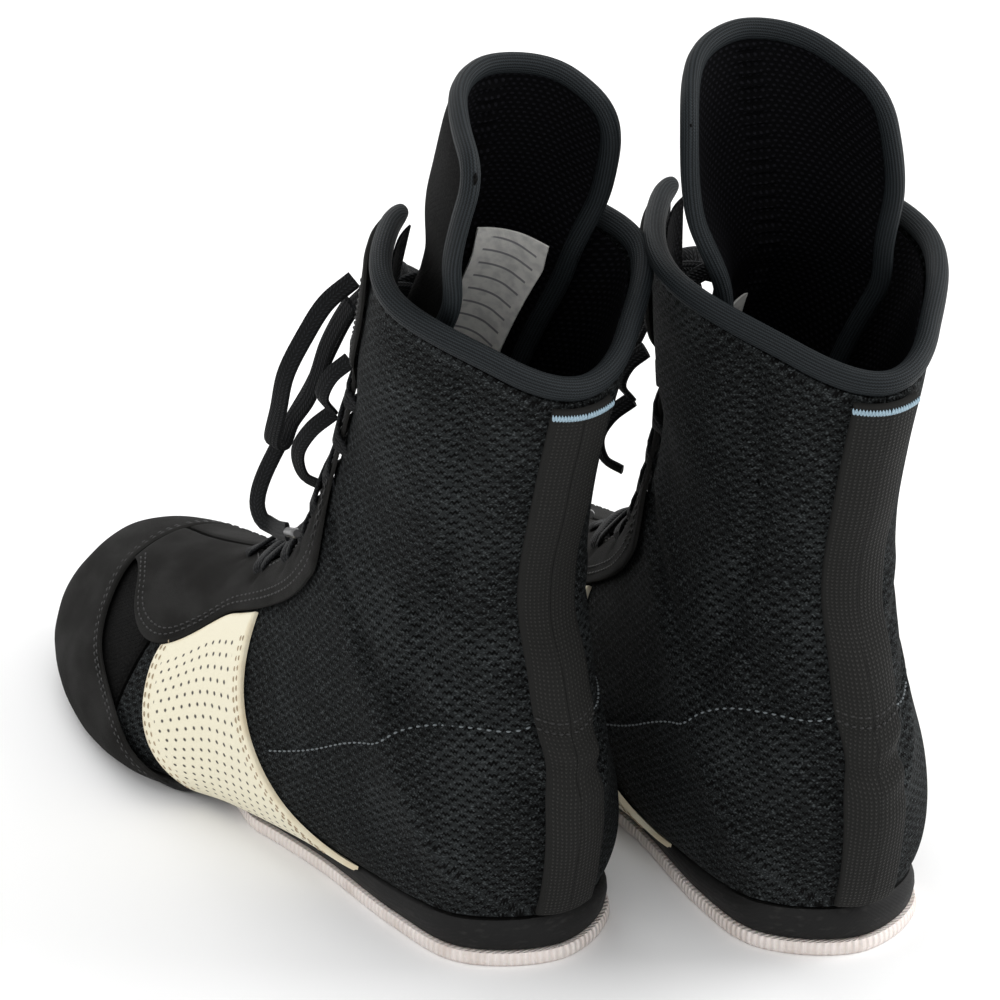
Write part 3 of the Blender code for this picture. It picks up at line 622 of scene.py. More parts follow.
def smooth_route(route, step):
    """Points at even steps along a smooth curve through a route."""
    route = np.asarray(route, float)
    ends = np.vstack([2 * route[0] - route[1], route, 2 * route[-1] - route[-2]])
    fine = np.array([catmull(*ends[k:k + 4], u) for k in range(len(route) - 1)
                     for u in np.linspace(0, 1, 24, endpoint=False)] + [route[-1]])
    length, steps = even_lengths(fine, step)
    return np.stack([np.interp(steps, length, fine[:, axis]) for axis in range(fine.shape[1])], 1)


def line_on_last(boot, side, places, lift, step):
    """Points at even steps (mm) along a line through (station, angle) places, and their normals."""
    places = smooth_route(places, 0.02)
    length, steps = even_lengths(last_offset(boot, places[:, 0], places[:, 1], side, lift), step)
    station, angle = (np.interp(steps, length, places[:, k]) for k in range(2))
    return last_offset(boot, station, angle, side, lift), last_normal(boot, station, angle, side)


def distance_to_line(boot, side, places, points):
    """How far each point is from a line through (station, angle) places, in mm."""
    line, _ = line_on_last(boot, side, places, 0.0, 1.5)
    flat = points.reshape(-1, 3)
    nearest = np.full(len(flat), np.inf)
    for place in line:
        nearest = np.minimum(nearest, np.sum((flat - place) ** 2, axis=1))
    return np.sqrt(nearest).reshape(points.shape[:-1])


def ripple(points, size):
    """A gentle unevenness from -1 to 1 with features of a size in mm."""
    total = 0.0
    for k, direction in enumerate(((1.0, 0.3, 0.7), (-0.5, 1.0, 0.4), (0.2, -0.6, 1.0), (0.8, 0.7, -0.9))):
        total = total + np.sin(points @ np.array(direction) * (2 * pi / size) / (1 + 0.37 * k) + 1.9 * k)
    return total / 4


# --- Putting pieces together ----------------------------------------------------------------------

WHOLE_RIM = (np.s_[0, :], np.s_[-1, :], np.s_[:, 0], np.s_[:, -1])
NO_EDGE = 99.0


class Shape:
    """Points, faces and texture places of a piece, gathered sheet by sheet in boot mm."""

    def __init__(self):
        self.points = []
        self.faces = []
        self.textures = []
        self.edges = []
        self.slots = []
        self.count = 0

    def add_grid(self, points, texture, edge=None, closed=False, slot=0):
        """A sheet of rows and columns of points. A closed sheet's last column joins its first.

        texture is in mm at each point, with one more column than points where the sheet is closed.
        """
        rows, columns = points.shape[:2]
        row, column = np.meshgrid(np.arange(rows - 1), np.arange(columns if closed else columns - 1),
                                  indexing="ij")
        row, column = row.ravel(), column.ravel()
        corners = ((row, column), (row, column + 1), (row + 1, column + 1), (row + 1, column))
        self.faces.append(np.stack([self.count + r * columns + c % columns for r, c in corners], 1))
        self.textures.append(np.stack([texture[r, c] for r, c in corners], 1))
        self.points.append(points.reshape(-1, 3))
        self.edges.append(np.full(rows * columns, NO_EDGE) if edge is None else edge.ravel())
        self.slots.append(np.full(len(row), slot))
        self.count += rows * columns

    def add_plate(self, front, back, texture, edge=None, back_slot=0, rim=WHOLE_RIM):
        """A solid plate: a front sheet, a back sheet and the walls that join them along the rim."""
        self.add_grid(front, texture, edge)
        self.add_grid(back, texture, edge, slot=back_slot)
        for line in rim:
            wall = np.stack([front[line], back[line]])
            self.add_grid(wall, np.stack([texture[line]] * 2), np.zeros(wall.shape[:2]))

    def build(self, boot, name, looks, body, replaced=()):
        """Make the piece, weld its sheets, give it its looks and let it ride."""
        data = bpy.data.meshes.new(name)
        faces = np.concatenate(self.faces)
        data.from_pydata(boot.world(np.concatenate(self.points)).tolist(), [], faces.tolist())
        layer = data.uv_layers.new(name="mm")
        layer.data.foreach_set("uv", np.concatenate(self.textures).ravel())
        edge = data.attributes.new("edge", "FLOAT", "POINT")
        edge.data.foreach_set("value", np.concatenate(self.edges))
        data.polygons.foreach_set("material_index", np.concatenate(self.slots).astype(int))
        shape = bmesh.new()
        shape.from_mesh(data)
        bmesh.ops.remove_doubles(shape, verts=shape.verts, dist=2e-6)
        bmesh.ops.dissolve_degenerate(shape, edges=shape.edges, dist=1e-7)
        bmesh.ops.recalc_face_normals(shape, faces=shape.faces)
        shape.to_mesh(data)
        shape.free()
        data.shade_smooth()
        data.set_sharp_from_angle(angle=0.9)
        for look in looks:
            data.materials.append(LOOKS[look])
        piece = bpy.data.objects.new(f"{boot.name}_{name}_look", data)
        bpy.context.collection.objects.link(piece)
        if body is not None:
            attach(piece, body)
        if replaced:
            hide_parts(*(f"{boot.name}_{node}" for node in replaced))
        return piece


def arc_lengths(points, axis):
    """Distances along the rows (axis 0) or the columns (axis 1) of a sheet of points."""
    steps = np.linalg.norm(np.diff(points, axis=axis), axis=-1)
    widths = [(0, 0), (0, 0)]
    widths[axis] = (1, 0)
    return np.cumsum(np.pad(steps, widths), axis=axis)


def relaxed(sheet, times):
    """A sheet of points or normals with its unevenness smoothed away inside its rim."""
    for _ in range(times):
        middle = (sheet[:-2, 1:-1] + sheet[2:, 1:-1] + sheet[1:-1, :-2] + sheet[1:-1, 2:]) / 4
        sheet = sheet.copy()
        sheet[1:-1, 1:-1] = middle
    return sheet


def shell(shape, boot, station, angle, side, inner, outer, texture=None, closed_start=False,
          smoothing=0):
    """A solid layer over part of the last, between two heights above it; its rim is rounded over.

    closed_start says that the first row folds up on itself, at the toe tip, and needs no wall.
    smoothing is how many times the last's own unevenness is evened out under the layer.
    """
    base = relaxed(last_point(boot, station, angle, side), smoothing)
    normal = unit(relaxed(last_normal(boot, station, angle, side), smoothing))
    down, across = arc_lengths(base, 0), arc_lengths(base, 1)
    edges = [down[-1:] - down, across, across[:, -1:] - across]
    edge = np.minimum.reduce(edges if closed_start else [down, *edges])
    thickness = outer - inner
    rounding = 0.38 * thickness * np.clip(1 - edge / 0.9, 0.0, 1.0) ** 2
    if texture is None:
        level = np.broadcast_to(down.mean(1, keepdims=True), down.shape)
        texture = np.stack([across * np.sign(side), level], -1)
    top = base + normal * (outer - rounding)[..., None]
    bottom = base + normal * (inner + 0 * edge)[..., None]
    shape.add_plate(top, bottom, texture, edge, rim=WHOLE_RIM[1:] if closed_start else WHOLE_RIM)


def layer(boot, name, look, station, angle, side, inner, outer, **details):
    """One layer of the upper as a piece of its own, in place of its CAD piece."""
    shape = Shape()
    shell(shape, boot, station, angle, side, inner, outer, **details)
    return shape.build(boot, name, [look], boot.body, [name])


def shares(count, rim=0.008):
    """Even shares from 0 to 1 with one more close to each end, so that a rim can be rounded."""
    inner = np.linspace(0.0, 1.0, count)
    return np.concatenate([[0.0, rim], inner[1:-1], [1 - rim, 1.0]])


def sweep(shape, centres, normals, profile):
    """A closed form swept along centres: profile points are (across, out) in mm, out along the normals.

    A profile may also change from centre to centre.
    """
    runs = unit(np.gradient(centres, axis=0))
    out = unit(normals - np.sum(normals * runs, axis=1, keepdims=True) * runs)
    across = np.cross(runs, out)
    profile = np.asarray(profile, float)
    if profile.ndim == 2:
        profile = np.broadcast_to(profile, (len(centres), *profile.shape))
    rings = (centres[:, None] + profile[..., :1] * across[:, None] + profile[..., 1:] * out[:, None])
    looped = np.concatenate([rings, rings[:, :1]], axis=1)
    around = arc_lengths(looped, 1)
    along = np.broadcast_to(arc_lengths(centres[:, None], 0), around.shape)
    texture = np.stack([around, along], -1)
    shape.add_grid(rings, texture, closed=True)
    for ring in (rings[0], rings[-1]):
        middle = np.broadcast_to(ring.mean(0), ring.shape)
        shape.add_grid(np.stack([ring, middle]), np.stack([texture[0], texture[0]]), closed=True)


def round_profile(radius, count=14):
    """A circle to sweep."""
    turns = np.arange(count) * 2 * pi / count
    return np.stack([radius * np.cos(turns), radius * np.sin(turns)], 1)


def flat_profile(width, thickness, count=16):
    """A flat braid's cross-section: a rounded bar."""
    turns = np.arange(count) * 2 * pi / count
    across = width / 2 * np.sign(np.cos(turns)) * np.abs(np.cos(turns)) ** 0.55
    out = thickness / 2 * np.sign(np.sin(turns)) * np.abs(np.sin(turns)) ** 0.75
    return np.stack([across, out], 1)


def stitches(shape, points, normals, length, radius):
    """Short threads, one between each point of a line and the next."""
    middles = (points[1:] + points[:-1]) / 2
    runs = unit(points[1:] - points[:-1])
    for middle, run, normal in zip(middles, runs, unit(normals[1:] + normals[:-1])):
        share = np.linspace(-1.0, 1.0, 5)[:, None]
        centres = middle + run * share * length / 2 - normal * radius * 0.9 * share ** 2
        thickness = np.sqrt(1.02 - share ** 2) * radius
        profile = round_profile(1.0, 6)[None] * thickness[:, None]
        sweep(shape, centres, np.broadcast_to(normal, centres.shape), profile)


# --- Laces ----------------------------------------------------------------------------------------

# Routes of the bow on the left boot's lateral side, in boot mm, as in the CAD; the other side mirrors them
LOOP_ROUTE = ((-7.5, 88, 181), (-16, 90, 175), (-23, 91, 166), (-28, 94, 155), (-28, 100, 142),
              (-26, 109, 129), (-21, 112, 126), (-18, 111, 133), (-15, 106, 141), (-13, 103, 149),
              (-11, 101, 157), (-9, 97, 165), (-7.5, 91, 173))
TAIL_ROUTE = ((-2.5, 89, 176), (-4, 99, 167), (-6, 107, 155), (-10, 113, 141), (-16, 118, 128),
              (-25, 117, 116), (-28, 117, 108), (-28, 115, 103), (-27, 111, 102), (-30, 100, 105),
              (-33, 89, 109))
SLACK_ROUTES = (((-17, 76, 162), (-21, 80, 157), (-22, 84, 150), (-18, 86, 144)),
                ((-17, 87, 143), (-22, 92, 137), (-24, 97, 129), (-22, 98, 121), (-18, 94, 118)))
LACE_WIDTH = 5.6
LACE_THICKNESS = 1.5
AGLET_LENGTH = 14.0
EYELET_PAIRS = 10
FIRST_EYELET = 4.05
LAST_EYELET = 12.7
KNOT_STATION = 12.15
KNOT_LIFT = 13.0


def knot_middle(boot):
    """The knot lies over the top of the lacing."""
    return last_offset(boot, KNOT_STATION, pi, 1.0, KNOT_LIFT)


def carried_normals(centres, first):
    """Normals along a free lace that turn only as the lace bends."""
    runs = unit(np.gradient(centres, axis=0))
    normals = [np.asarray(first, float)]
    for run in runs:
        normals.append(unit(normals[-1] - np.dot(normals[-1], run) * run))
    return np.array(normals[1:])


def free_lace(boot, name, centres, first_normal, replaced):
    """A bow loop or a tail: a flat braid along its CAD cord's route."""
    shape = Shape()
    normals = carried_normals(centres, first_normal)
    sweep(shape, centres, normals, flat_profile(LACE_WIDTH, LACE_THICKNESS))
    lace = shape.build(boot, name, ["lace"], boot.body, [replaced])
    path = boot.world(centres)


def bow(boot):
    """The loops, tails and aglets of the bow, on both sides of its knot."""
    forward = knot_middle(boot) - knot_middle(LEFT)
    for label, side in SIDES:
        hand = np.array([-side, 1.0, 1.0])
        outward = np.array([side, -0.6, 0.3])
        loop = smooth_route(LOOP_ROUTE, 1.6) * hand + forward
        free_lace(boot, f"bow_loop_{label}", loop, outward, f"bow_loop_{label}")
        tail = smooth_route(TAIL_ROUTE, 1.6) * hand + forward
        run = unit(tail[-1] - tail[-2])
        centres = tail[-1] + run * np.linspace(0.2, AGLET_LENGTH, 9)[:, None]
        sizes = np.array([0.8, 1.0, 1.0, 0.97, 1.0, 1.0, 0.97, 1.0, 0.75]) * 1.55
        tip = Shape()
        profile = round_profile(1.0)[None] * sizes[:, None, None]
        sweep(tip, centres, carried_normals(centres, outward), profile)
        aglet = tip.build(boot, f"aglet_{label}", ["aglet"], boot.body, [f"aglet_{label}"])
        free_lace(boot, f"lace_tail_{label}", tail, outward, f"lace_tail_{label}")


def knot(boot):
    """The knot: the lace wrapped round the middle of the bow."""
    shape = Shape()
    middle = knot_middle(boot)
    turns = np.linspace(-0.2, 2 * pi - 0.5, 40)
    ring = np.stack([0.7 * turns - 2.0, 3.2 * np.cos(turns), 4.4 * np.sin(turns)], 1)
    outward = np.stack([0 * turns, np.cos(turns), np.sin(turns)], 1)
    sweep(shape, middle + ring, outward, flat_profile(LACE_WIDTH, 1.9))
    across = np.linspace(-7.0, 7.0, 30)
    centres = middle + np.stack([across, 0.02 * across ** 2, -0.03 * across ** 2], 1)
    profile = flat_profile(7.0, 5.5)[None] * np.sqrt(1.02 - (across / 7.0) ** 2)[:, None, None]
    sweep(shape, centres, np.broadcast_to((0.0, 0.6, 0.8), centres.shape), profile)
    shape.build(boot, "bow_knot", ["lace"], boot.body, ["bow_knot"])


def eyelet(pair):
    """Where the lace passes a pair of eyelets: its station and its angle."""
    station = blend(FIRST_EYELET, LAST_EYELET, pair / (EYELET_PAIRS - 1))
    return station, throat_edge(station) - 0.20


def crossing(shape, boot, start, end, side, lift):
    """One run of lace from an eyelet, over the throat, down into an eyelet on the other side."""
    share = np.linspace(0.0, 1.0, 27)
    around = np.where(share < 0.5, blend(start[1], pi, share * 2), blend(pi, end[1], share * 2 - 1))
    hand = np.where(share < 0.5, side, -side)
    rise = np.sin(pi * share)
    height = -1.5 + 4.9 * smooth_step(rise, 0.0, 0.30) + lift * rise ** 2
    centres = last_offset(boot, blend(start[0], end[0], share), around, hand, height)
    normals = last_normal(boot, blend(start[0], end[0], share), around, hand)
    width = blend(0.5, 1.0, smooth_step(rise, 0.05, 0.35))[:, None]
    profile = np.broadcast_to(flat_profile(LACE_WIDTH, LACE_THICKNESS), (len(share), 16, 2)).copy()
    profile[..., 0] *= width
    sweep(shape, centres, normals, profile)


def lacing(boot):
    """The lace, crossed from each pair of punched eyelets to the next, with a little slack beside it."""
    shape = Shape()
    for pair in range(EYELET_PAIRS - 1):
        side = -1 if pair % 2 == 0 else 1
        crossing(shape, boot, eyelet(pair), eyelet(pair + 1), side, 2.4)
        crossing(shape, boot, eyelet(pair), eyelet(pair + 1), -side, 0.2)
    crossing(shape, boot, eyelet(0), eyelet(0), -1, -0.3)
    forward = knot_middle(boot) - knot_middle(LEFT)
    for side in (-1, 1):
        for route in SLACK_ROUTES:
            centres = smooth_route(route, 1.2) * np.array([-side, 1.0, 1.0]) + forward
            sweep(shape, centres, carried_normals(centres, (side, -0.5, 0.2)),
                  flat_profile(LACE_WIDTH * 0.9, LACE_THICKNESS))
    shape.build(boot, "lace_run", ["lace"], boot.body, ["lace_run"])


# --- Upper ----------------------------------------------------------------------------------------

# Seams and creases as (station, angle) places
QUILT_SEAM = ((13.75, 1.0), (12.9, 0.94), (12.35, 0.84), (11.6, 1.0), (10.75, 1.25), (10.0, 1.36),
              (9.45, 1.4))
COUNTER_SEAM = ((5.9, 1.19), (7.2, 1.36), (8.3, 1.38), (9.35, 1.33), (10.15, 0.98), (10.7, 0.42),
                (10.85, 0.2))
ANKLE_CREASE = ((10.5, 1.45), (10.35, 1.0), (10.15, 0.55), (10.1, 0.25))
INSTEP_CREASE = ((8.9, 2.3), (9.2, 1.95), (9.3, 1.6))
BACK_CREASE = ((11.3, 0.9), (11.25, 0.6), (11.1, 0.3))
# Each crease with its width and depth in mm
CREASES = ((ANKLE_CREASE, 4.0, 1.5), (INSTEP_CREASE, 3.5, 0.9), (BACK_CREASE, 3.5, 0.9))
RELIEF_LOW = -1.6
RELIEF_HIGH = 1.15
UPPER_INSIDE = -1.5
WAIST_STATION = 10.45
WEBBING_HALF = 8.5
ROLL_DEPTH = -2.15


def groove(distance, width, depth):
    """A soft groove at a distance from a line."""
    return -depth * np.exp(-(distance / width) ** 2)


def quarter_relief(boot, side, station, points):
    """How far the padded mesh stands proud of the last (mm): swollen between its seams, and creased."""
    quilt = distance_to_line(boot, side, QUILT_SEAM, points)
    counter = distance_to_line(boot, side, COUNTER_SEAM, points)
    shaft = smooth_step(points[..., 2], 35.0, 110.0)
    below_collar = 1 - np.exp(-((13.9 - station) / 0.25) ** 2)
    swelling = 0.8 * shaft * (1 - np.exp(-(quilt / 9.0) ** 2)) * below_collar
    relief = swelling + groove(quilt, 3.2, 2.0) + groove(counter, 1.8, 0.8)
    for places, width, depth in CREASES:
        crease = distance_to_line(boot, side, places, points)
        relief = relief + groove(crease, width, depth) - groove(crease - 1.9 * width, width, 0.5 * depth)
    relief = relief + 0.35 * ripple(points, 46.0) + 0.2 * ripple(points, 21.0)
    return np.clip(relief, RELIEF_LOW, RELIEF_HIGH)


def cloth_texture(boot, points):
    """Texture places for cloth cut flat and pulled round the heel: its rows stay level."""
    back = last_point(boot, np.linspace(HEEL_BACK, COLLAR, 40), 0.0, 1.0)
    seam = np.interp(points[..., 2], back[:, 2], back[:, 1])
    around = np.hypot(points[..., 0], points[..., 1] - seam)
    return np.stack([around, points[..., 2] + 0.12 * points[..., 1]], -1)


def quarters(boot):
    """The padded mesh quarters, one on each side, from the vamp to the collar."""
    share_down, share_across = np.meshgrid(shares(190, 0.003), shares(74, 0.006), indexing="ij")
    station = blend(QUARTER_FRONT, UPPER_TOP, share_down)
    low = np.where(station < HEEL_BACK, 0.0, 0.012)
    angle = np.maximum(np.minimum(throat_edge(station), pi - MIDDLE_GAP) * share_across, low)
    station = raised_to_collar(station, angle)
    for label, side in SIDES:
        points = last_point(boot, station, angle, side)
        relief = quarter_relief(boot, side, station, points)
        piece = layer(boot, f"quarter_{label}", "mesh", station, angle, side, UPPER_INSIDE, relief,
                      texture=cloth_texture(boot, points), smoothing=60)


def over_front(count, low_angle):
    """Angles and sides across the front of the boot, from one side of the sole to the other."""
    across = np.linspace(-1.0, 1.0, count)
    return blend(pi, low_angle, np.abs(across)), np.where(across < 0, -1.0, 1.0)


def vamp(boot):
    """The fine mesh vamp, which shows in a window on each side."""
    angle, side = over_front(121, 0.0)
    station, angle = np.meshgrid(np.linspace(0.0, VAMP_REAR, 70), angle, indexing="ij")
    relief = 0.25 * ripple(last_point(boot, station, angle, side), 24.0)
    layer(boot, "vamp", "fine_mesh", station, angle, side, UPPER_INSIDE, relief, closed_start=True)


def toe_cap(boot):
    """The suede toe cap, in one piece over the toes."""
    angle, side = over_front(111, FEATHER_LIFT - 0.25)
    row, angle = np.meshgrid(shares(60), angle, indexing="ij")
    station = toe_cap_rear(angle) * row
    points = last_point(boot, station, angle, side)
    relief = OVERLAY[1] + 0.3 * ripple(points, 38.0) + 0.12 * ripple(points, 13.0)
    layer(boot, "toe_cap", "suede", station, angle, side, OVERLAY[0], relief, closed_start=True)


def eyestays(boot):
    """The suede eyestays, from the vamp to the collar, with their punched eyelets."""
    row, column = np.meshgrid(shares(170, 0.003), shares(22, 0.02), indexing="ij")
    line = blend(EYESTAY_START, UPPER_TOP, row)
    angle = blend(eyestay_edge(line), np.minimum(throat_edge(line), pi - MIDDLE_GAP), column)
    station = blend(EYESTAY_START, collar_edge(angle), row)
    for label, side in SIDES:
        points = last_point(boot, station, angle, side)
        relief = OVERLAY[1] + 0.25 * ripple(points, 30.0) + 0.1 * ripple(points, 11.0)
        for pair in range(EYELET_PAIRS):
            hole = last_point(boot, *eyelet(pair), float(side))
            distance = np.linalg.norm(points - hole, axis=-1)
            relief = relief + groove(distance, 2.6, 0.8)
        layer(boot, f"eyestay_{label}", "suede", station, angle, side, OVERLAY[0], relief)


def side_panels(boot):
    """The cream leather panel on each side: one plain perforated saddle."""
    row, column = np.meshgrid(shares(70), shares(44), indexing="ij")
    top = eyestay_edge(blend(3.9, 5.4, column)) - 0.02
    angle = blend(top, FEATHER_LIFT - 0.38, row ** 1.2)
    station = blend(panel_front(angle), panel_rear(angle), column)
    for label, side in SIDES:
        relief = OVERLAY[1] - 0.5 + 0.2 * ripple(last_point(boot, station, angle, side), 33.0)
        layer(boot, f"side_panel_{label}", "leather", station, angle, side, OVERLAY[0] - 1.0, relief)


def webbing_angle(boot, station, half_width):
    """The angle that lies a distance (mm) to the side of the back seam."""
    angles = np.linspace(0.0, 1.2, 61)
    widths = last_point(boot, station, angles, 1.0)[:, 0]
    return np.interp(half_width, widths, angles)


def heel_webbing(boot):
    """The webbing strap up the back seam, puckered at the boot's waist."""
    stations = blend(HEEL_BACK + 0.12, COLLAR - 0.22, shares(150, 0.003))
    across = np.concatenate([-shares(16, 0.04)[::-1], shares(16, 0.04)[1:]])
    pinch = 1 - 0.14 * np.exp(-((stations - WAIST_STATION) / 0.22) ** 2)
    angle = np.array([webbing_angle(boot, s, WEBBING_HALF * np.abs(across) * p)
                      for s, p in zip(stations, pinch)])
    station = np.broadcast_to(stations[:, None], angle.shape)
    side = np.broadcast_to(np.where(across < 0, -1.0, 1.0), angle.shape)
    pucker = np.exp(-((station - WAIST_STATION) / 0.3) ** 2)
    folds = np.sin((station - WAIST_STATION) * 2 * pi / 0.34 + 1.2 * across)
    relief = STRAP[1] + 1.0 * pucker * folds + 0.15 * np.sin(station * 9.0)
    layer(boot, "heel_webbing", "webbing", station, angle, side, STRAP[0] - 0.6, relief)


def collar_roll(boot):
    """The knitted roll that binds the collar."""
    reach = throat_edge(COLLAR) - 0.02
    turn = np.linspace(-reach, reach, 240)
    side = np.where(turn < 0, -1.0, 1.0)
    angle = np.abs(turn)
    station = collar_edge(angle) + 0.2
    edge = last_offset(boot, station, angle, side, ROLL_DEPTH)
    below = last_offset(boot, station - 0.2, angle, side, ROLL_DEPTH)
    centres = below + unit(edge - below) * (2.9 + 2 * SHELL_GAP)
    sizes = 3.05 + 0.12 * ripple(centres, 40.0) - 0.9 * (np.abs(turn) / reach) ** 40
    shape = Shape()
    normals = last_normal(boot, station, angle, side)
    profile = round_profile(1.0, 20)[None] * sizes[:, None, None] * np.array([1.12, 1.0])
    sweep(shape, centres, normals, profile)
    piece = shape.build(boot, "collar_roll", ["tape"], boot.body, ["collar_roll"])


def lining(boot):
    """The lining of each side, which meet at the back seam and over the toes."""
    share_down, share_across = np.meshgrid(np.linspace(0.0, 1.0, 130), np.linspace(0.0, 1.0, 40),
                                           indexing="ij")
    station = blend(0.05, UPPER_TOP, share_down)
    low = blend(1.0 / 6.0, 0.0, smooth_step(station, 8.3, HEEL_BACK))
    angle = throat_edge(station) * blend(low, 1.0, share_across)
    station = raised_to_collar(station, angle)
    shape = Shape()
    for _, side in SIDES:
        points = last_point(boot, station, angle, side)
        shell(shape, boot, station, angle, side, LINING[0] + 0.25 * ripple(points, 30.0), LINING[1],
              cloth_texture(boot, points))
    shape.build(boot, "lining", ["lining"], boot.body, ["lining"])


# --- Tongue ---------------------------------------------------------------------------------------

TONGUE_ROOT = 13.45
TONGUE_RISE = 68.0
TONGUE_FOLD = TONGUE_ROOT + 0.31
FOLD_REACH = 0.12
TONGUE_SPREAD = 1.16
TONGUE_MIDDLE = -9.1
TONGUE_HALF = 1.9
TONGUE_RIM = 0.985


def tongue_point(boot, station, out, side, depth):
    """A point of the tongue, out from 0 in its middle to 1 at its edge, as in the CAD."""
    inside = np.minimum(station, TONGUE_ROOT)
    spread = TONGUE_SPREAD * blend(0.32, 1.0, smooth_step(inside, THROAT, THROAT + 3.5))
    point = last_offset(boot, inside, pi - spread * out, side, depth)
    slump = boot.slump * np.clip((inside - 8.5) / (TONGUE_ROOT - 8.5), 0.0, 1.0) ** 2
    share = station - inside
    reach = TONGUE_RISE * share * (1 - 0.15 * out ** 3)
    taper = 1 + 0.26 * smooth_step(share, 0.1, 0.55) - 0.10 * share ** 6
    curl = boot.tongue_curl * smooth_step(station, 12.3, 14.1) * out ** 2 * (side < 0)
    x = point[..., 0] * taper + reach * boot.tongue_sway
    y = point[..., 1] - slump - curl - reach * sin(boot.tongue_lean)
    z = point[..., 2] + reach * cos(boot.tongue_lean)
    return np.stack([x, y, z], -1)


def tongue_normal(boot, station, out, side):
    """The tongue's outward unit normal, from its own curled shape."""
    step = 0.01
    here = tongue_point(boot, station, out, side, TONGUE_MIDDLE)
    along = tongue_point(boot, station + step, out, side, TONGUE_MIDDLE) - here
    around = tongue_point(boot, station, out + step, side, TONGUE_MIDDLE) - here
    normal = unit(np.cross(around, along))
    outward = tongue_point(boot, station, out, side, TONGUE_MIDDLE + 1.0) - here
    return normal * np.sign(np.sum(normal * outward, axis=-1, keepdims=True))


def bend_over_fold(boot, piece):
    """Bake a piece of the tongue's placement into its points; the fold's two ends are found but not used."""
    stations = TONGUE_FOLD + np.array([-FOLD_REACH, FOLD_REACH])
    start, end = boot.world(tongue_point(boot, stations, 0.0 * stations, 1.0, TONGUE_MIDDLE))
    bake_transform(piece)


def tongue(boot):
    """The padded tongue, of mesh outside and dotted lining inside, in one piece with its flap."""
    lower = np.linspace(THROAT + 0.6, TONGUE_ROOT, 100)
    stations = np.concatenate([lower, TONGUE_ROOT + np.linspace(0, 1, 90)[1:]])
    station, across = np.meshgrid(stations, np.linspace(-1.0, 1.0, 61), indexing="ij")
    middle_column = np.s_[:, 30:31]
    side = np.where(across < 0, -1.0, 1.0)
    out = np.abs(across)
    top = np.clip(station - TONGUE_ROOT, 0.0, 1.0)
    half = TONGUE_HALF * np.sqrt(1.01 - np.clip(np.maximum(out, top), 0.0, 1.0) ** 10)
    middle = tongue_point(boot, station, out, side, np.full(out.shape, TONGUE_MIDDLE))
    normal = tongue_normal(boot, station, out, side)
    around, along = arc_lengths(middle, 1), arc_lengths(middle, 0)
    level = np.broadcast_to(along[middle_column], along.shape)
    texture = np.stack([around - around[middle_column], level], -1)
    crown = 0.7 * (1 - out ** 2) + 0.3 * ripple(middle, 26.0)
    strip = np.exp(-(texture[..., 0] / 4.2) ** 4)
    strip = strip * smooth_step(station, 12.2, 12.6) * (1 - smooth_step(top, 0.9, 0.97))
    gathers = strip * (0.5 + 0.9 * np.sin(texture[..., 1] * 2 * pi / 3.9))
    outer = middle + normal * (half + crown * half / TONGUE_HALF)[..., None]
    inner = middle - normal * (half + gathers)[..., None]
    shape = Shape()
    shape.add_plate(outer, inner, texture, back_slot=1)
    piece = shape.build(boot, "tongue", ["fine_mesh", "lining"], None, ["tongue", "tongue_flap"])
    bend_over_fold(boot, piece)


def tongue_binding(boot):
    """The knitted tape round the edge of the tongue, from the throat up over its top."""
    rise = np.linspace(9.6, TONGUE_ROOT + 0.96, 90)
    over = np.linspace(-0.97, 0.97, 50)
    up = np.full(len(rise), TONGUE_RIM)
    station = np.concatenate([rise, np.full(len(over), TONGUE_ROOT + TONGUE_RIM), rise[::-1]])
    across = np.concatenate([-up, over, up])
    side = np.where(across < 0, -1.0, 1.0)
    route = tongue_point(boot, station, np.abs(across), side, np.full(len(station), TONGUE_MIDDLE))
    facing = tongue_normal(boot, station, np.abs(across), side)
    line = smooth_route(np.concatenate([route, 40 * facing], 1)[::3], 2.0)
    kernel = np.ones(9) / 9
    padded = np.pad(line, ((4, 4), (0, 0)), mode="edge")
    line = np.stack([np.convolve(padded[:, k], kernel, "valid") for k in range(6)], 1)
    shape = Shape()
    profile = round_profile(1.0, 16) * np.array([3.0, 2.5])
    sweep(shape, line[:, :3], unit(line[:, 3:]), profile)
    piece = shape.build(boot, "tongue_binding", ["tape"], None)
    bend_over_fold(boot, piece)


def size_label(boot):
    """The woven label sewn inside the tongue, with no lettering."""
    station, out = np.meshgrid(np.linspace(LABEL_ROOT, boot.label_top, 24), np.linspace(0.15, 0.85, 24),
                               indexing="ij")
    front = tongue_point(boot, station, out, 1.0, np.full(out.shape, LABEL[0]))
    back = tongue_point(boot, station, out, 1.0, np.full(out.shape, LABEL[1]))
    around, along = arc_lengths(front, 1), arc_lengths(front, 0)
    texture = np.stack([around, along], -1)
    edge = np.minimum.reduce([around, around[:, -1:] - around, along, along[-1:] - along])
    shape = Shape()
    shape.add_plate(front, back, texture, edge)
    piece = shape.build(boot, "size_label", ["label"], boot.body, ["size_label"])


# --- Soles ----------------------------------------------------------------------------------------

FEATHER_LINE = last_point(LEFT, np.linspace(HEEL_BACK, 0.0, 91), 0.0, 1)
OUTSOLE_THICKNESS = 4.2
TOE_SPRING = 7.5
# The rings up each layer of the sole: how far each is set in (mm), and its share of the layer's height
OUTSOLE_RINGS = ((1.6, 0.0), (0.5, 0.06), (0.1, 0.25), (0.0, 0.5), (0.1, 0.8), (0.5, 1.0))
MIDSOLE_RINGS = ((1.5, 0.0), (0.5, 0.03), (0.0, 0.2), (-0.4, 0.45), (-0.3, 0.7), (0.2, 0.9), (0.9, 1.0),
                 (2.2, 1.0))
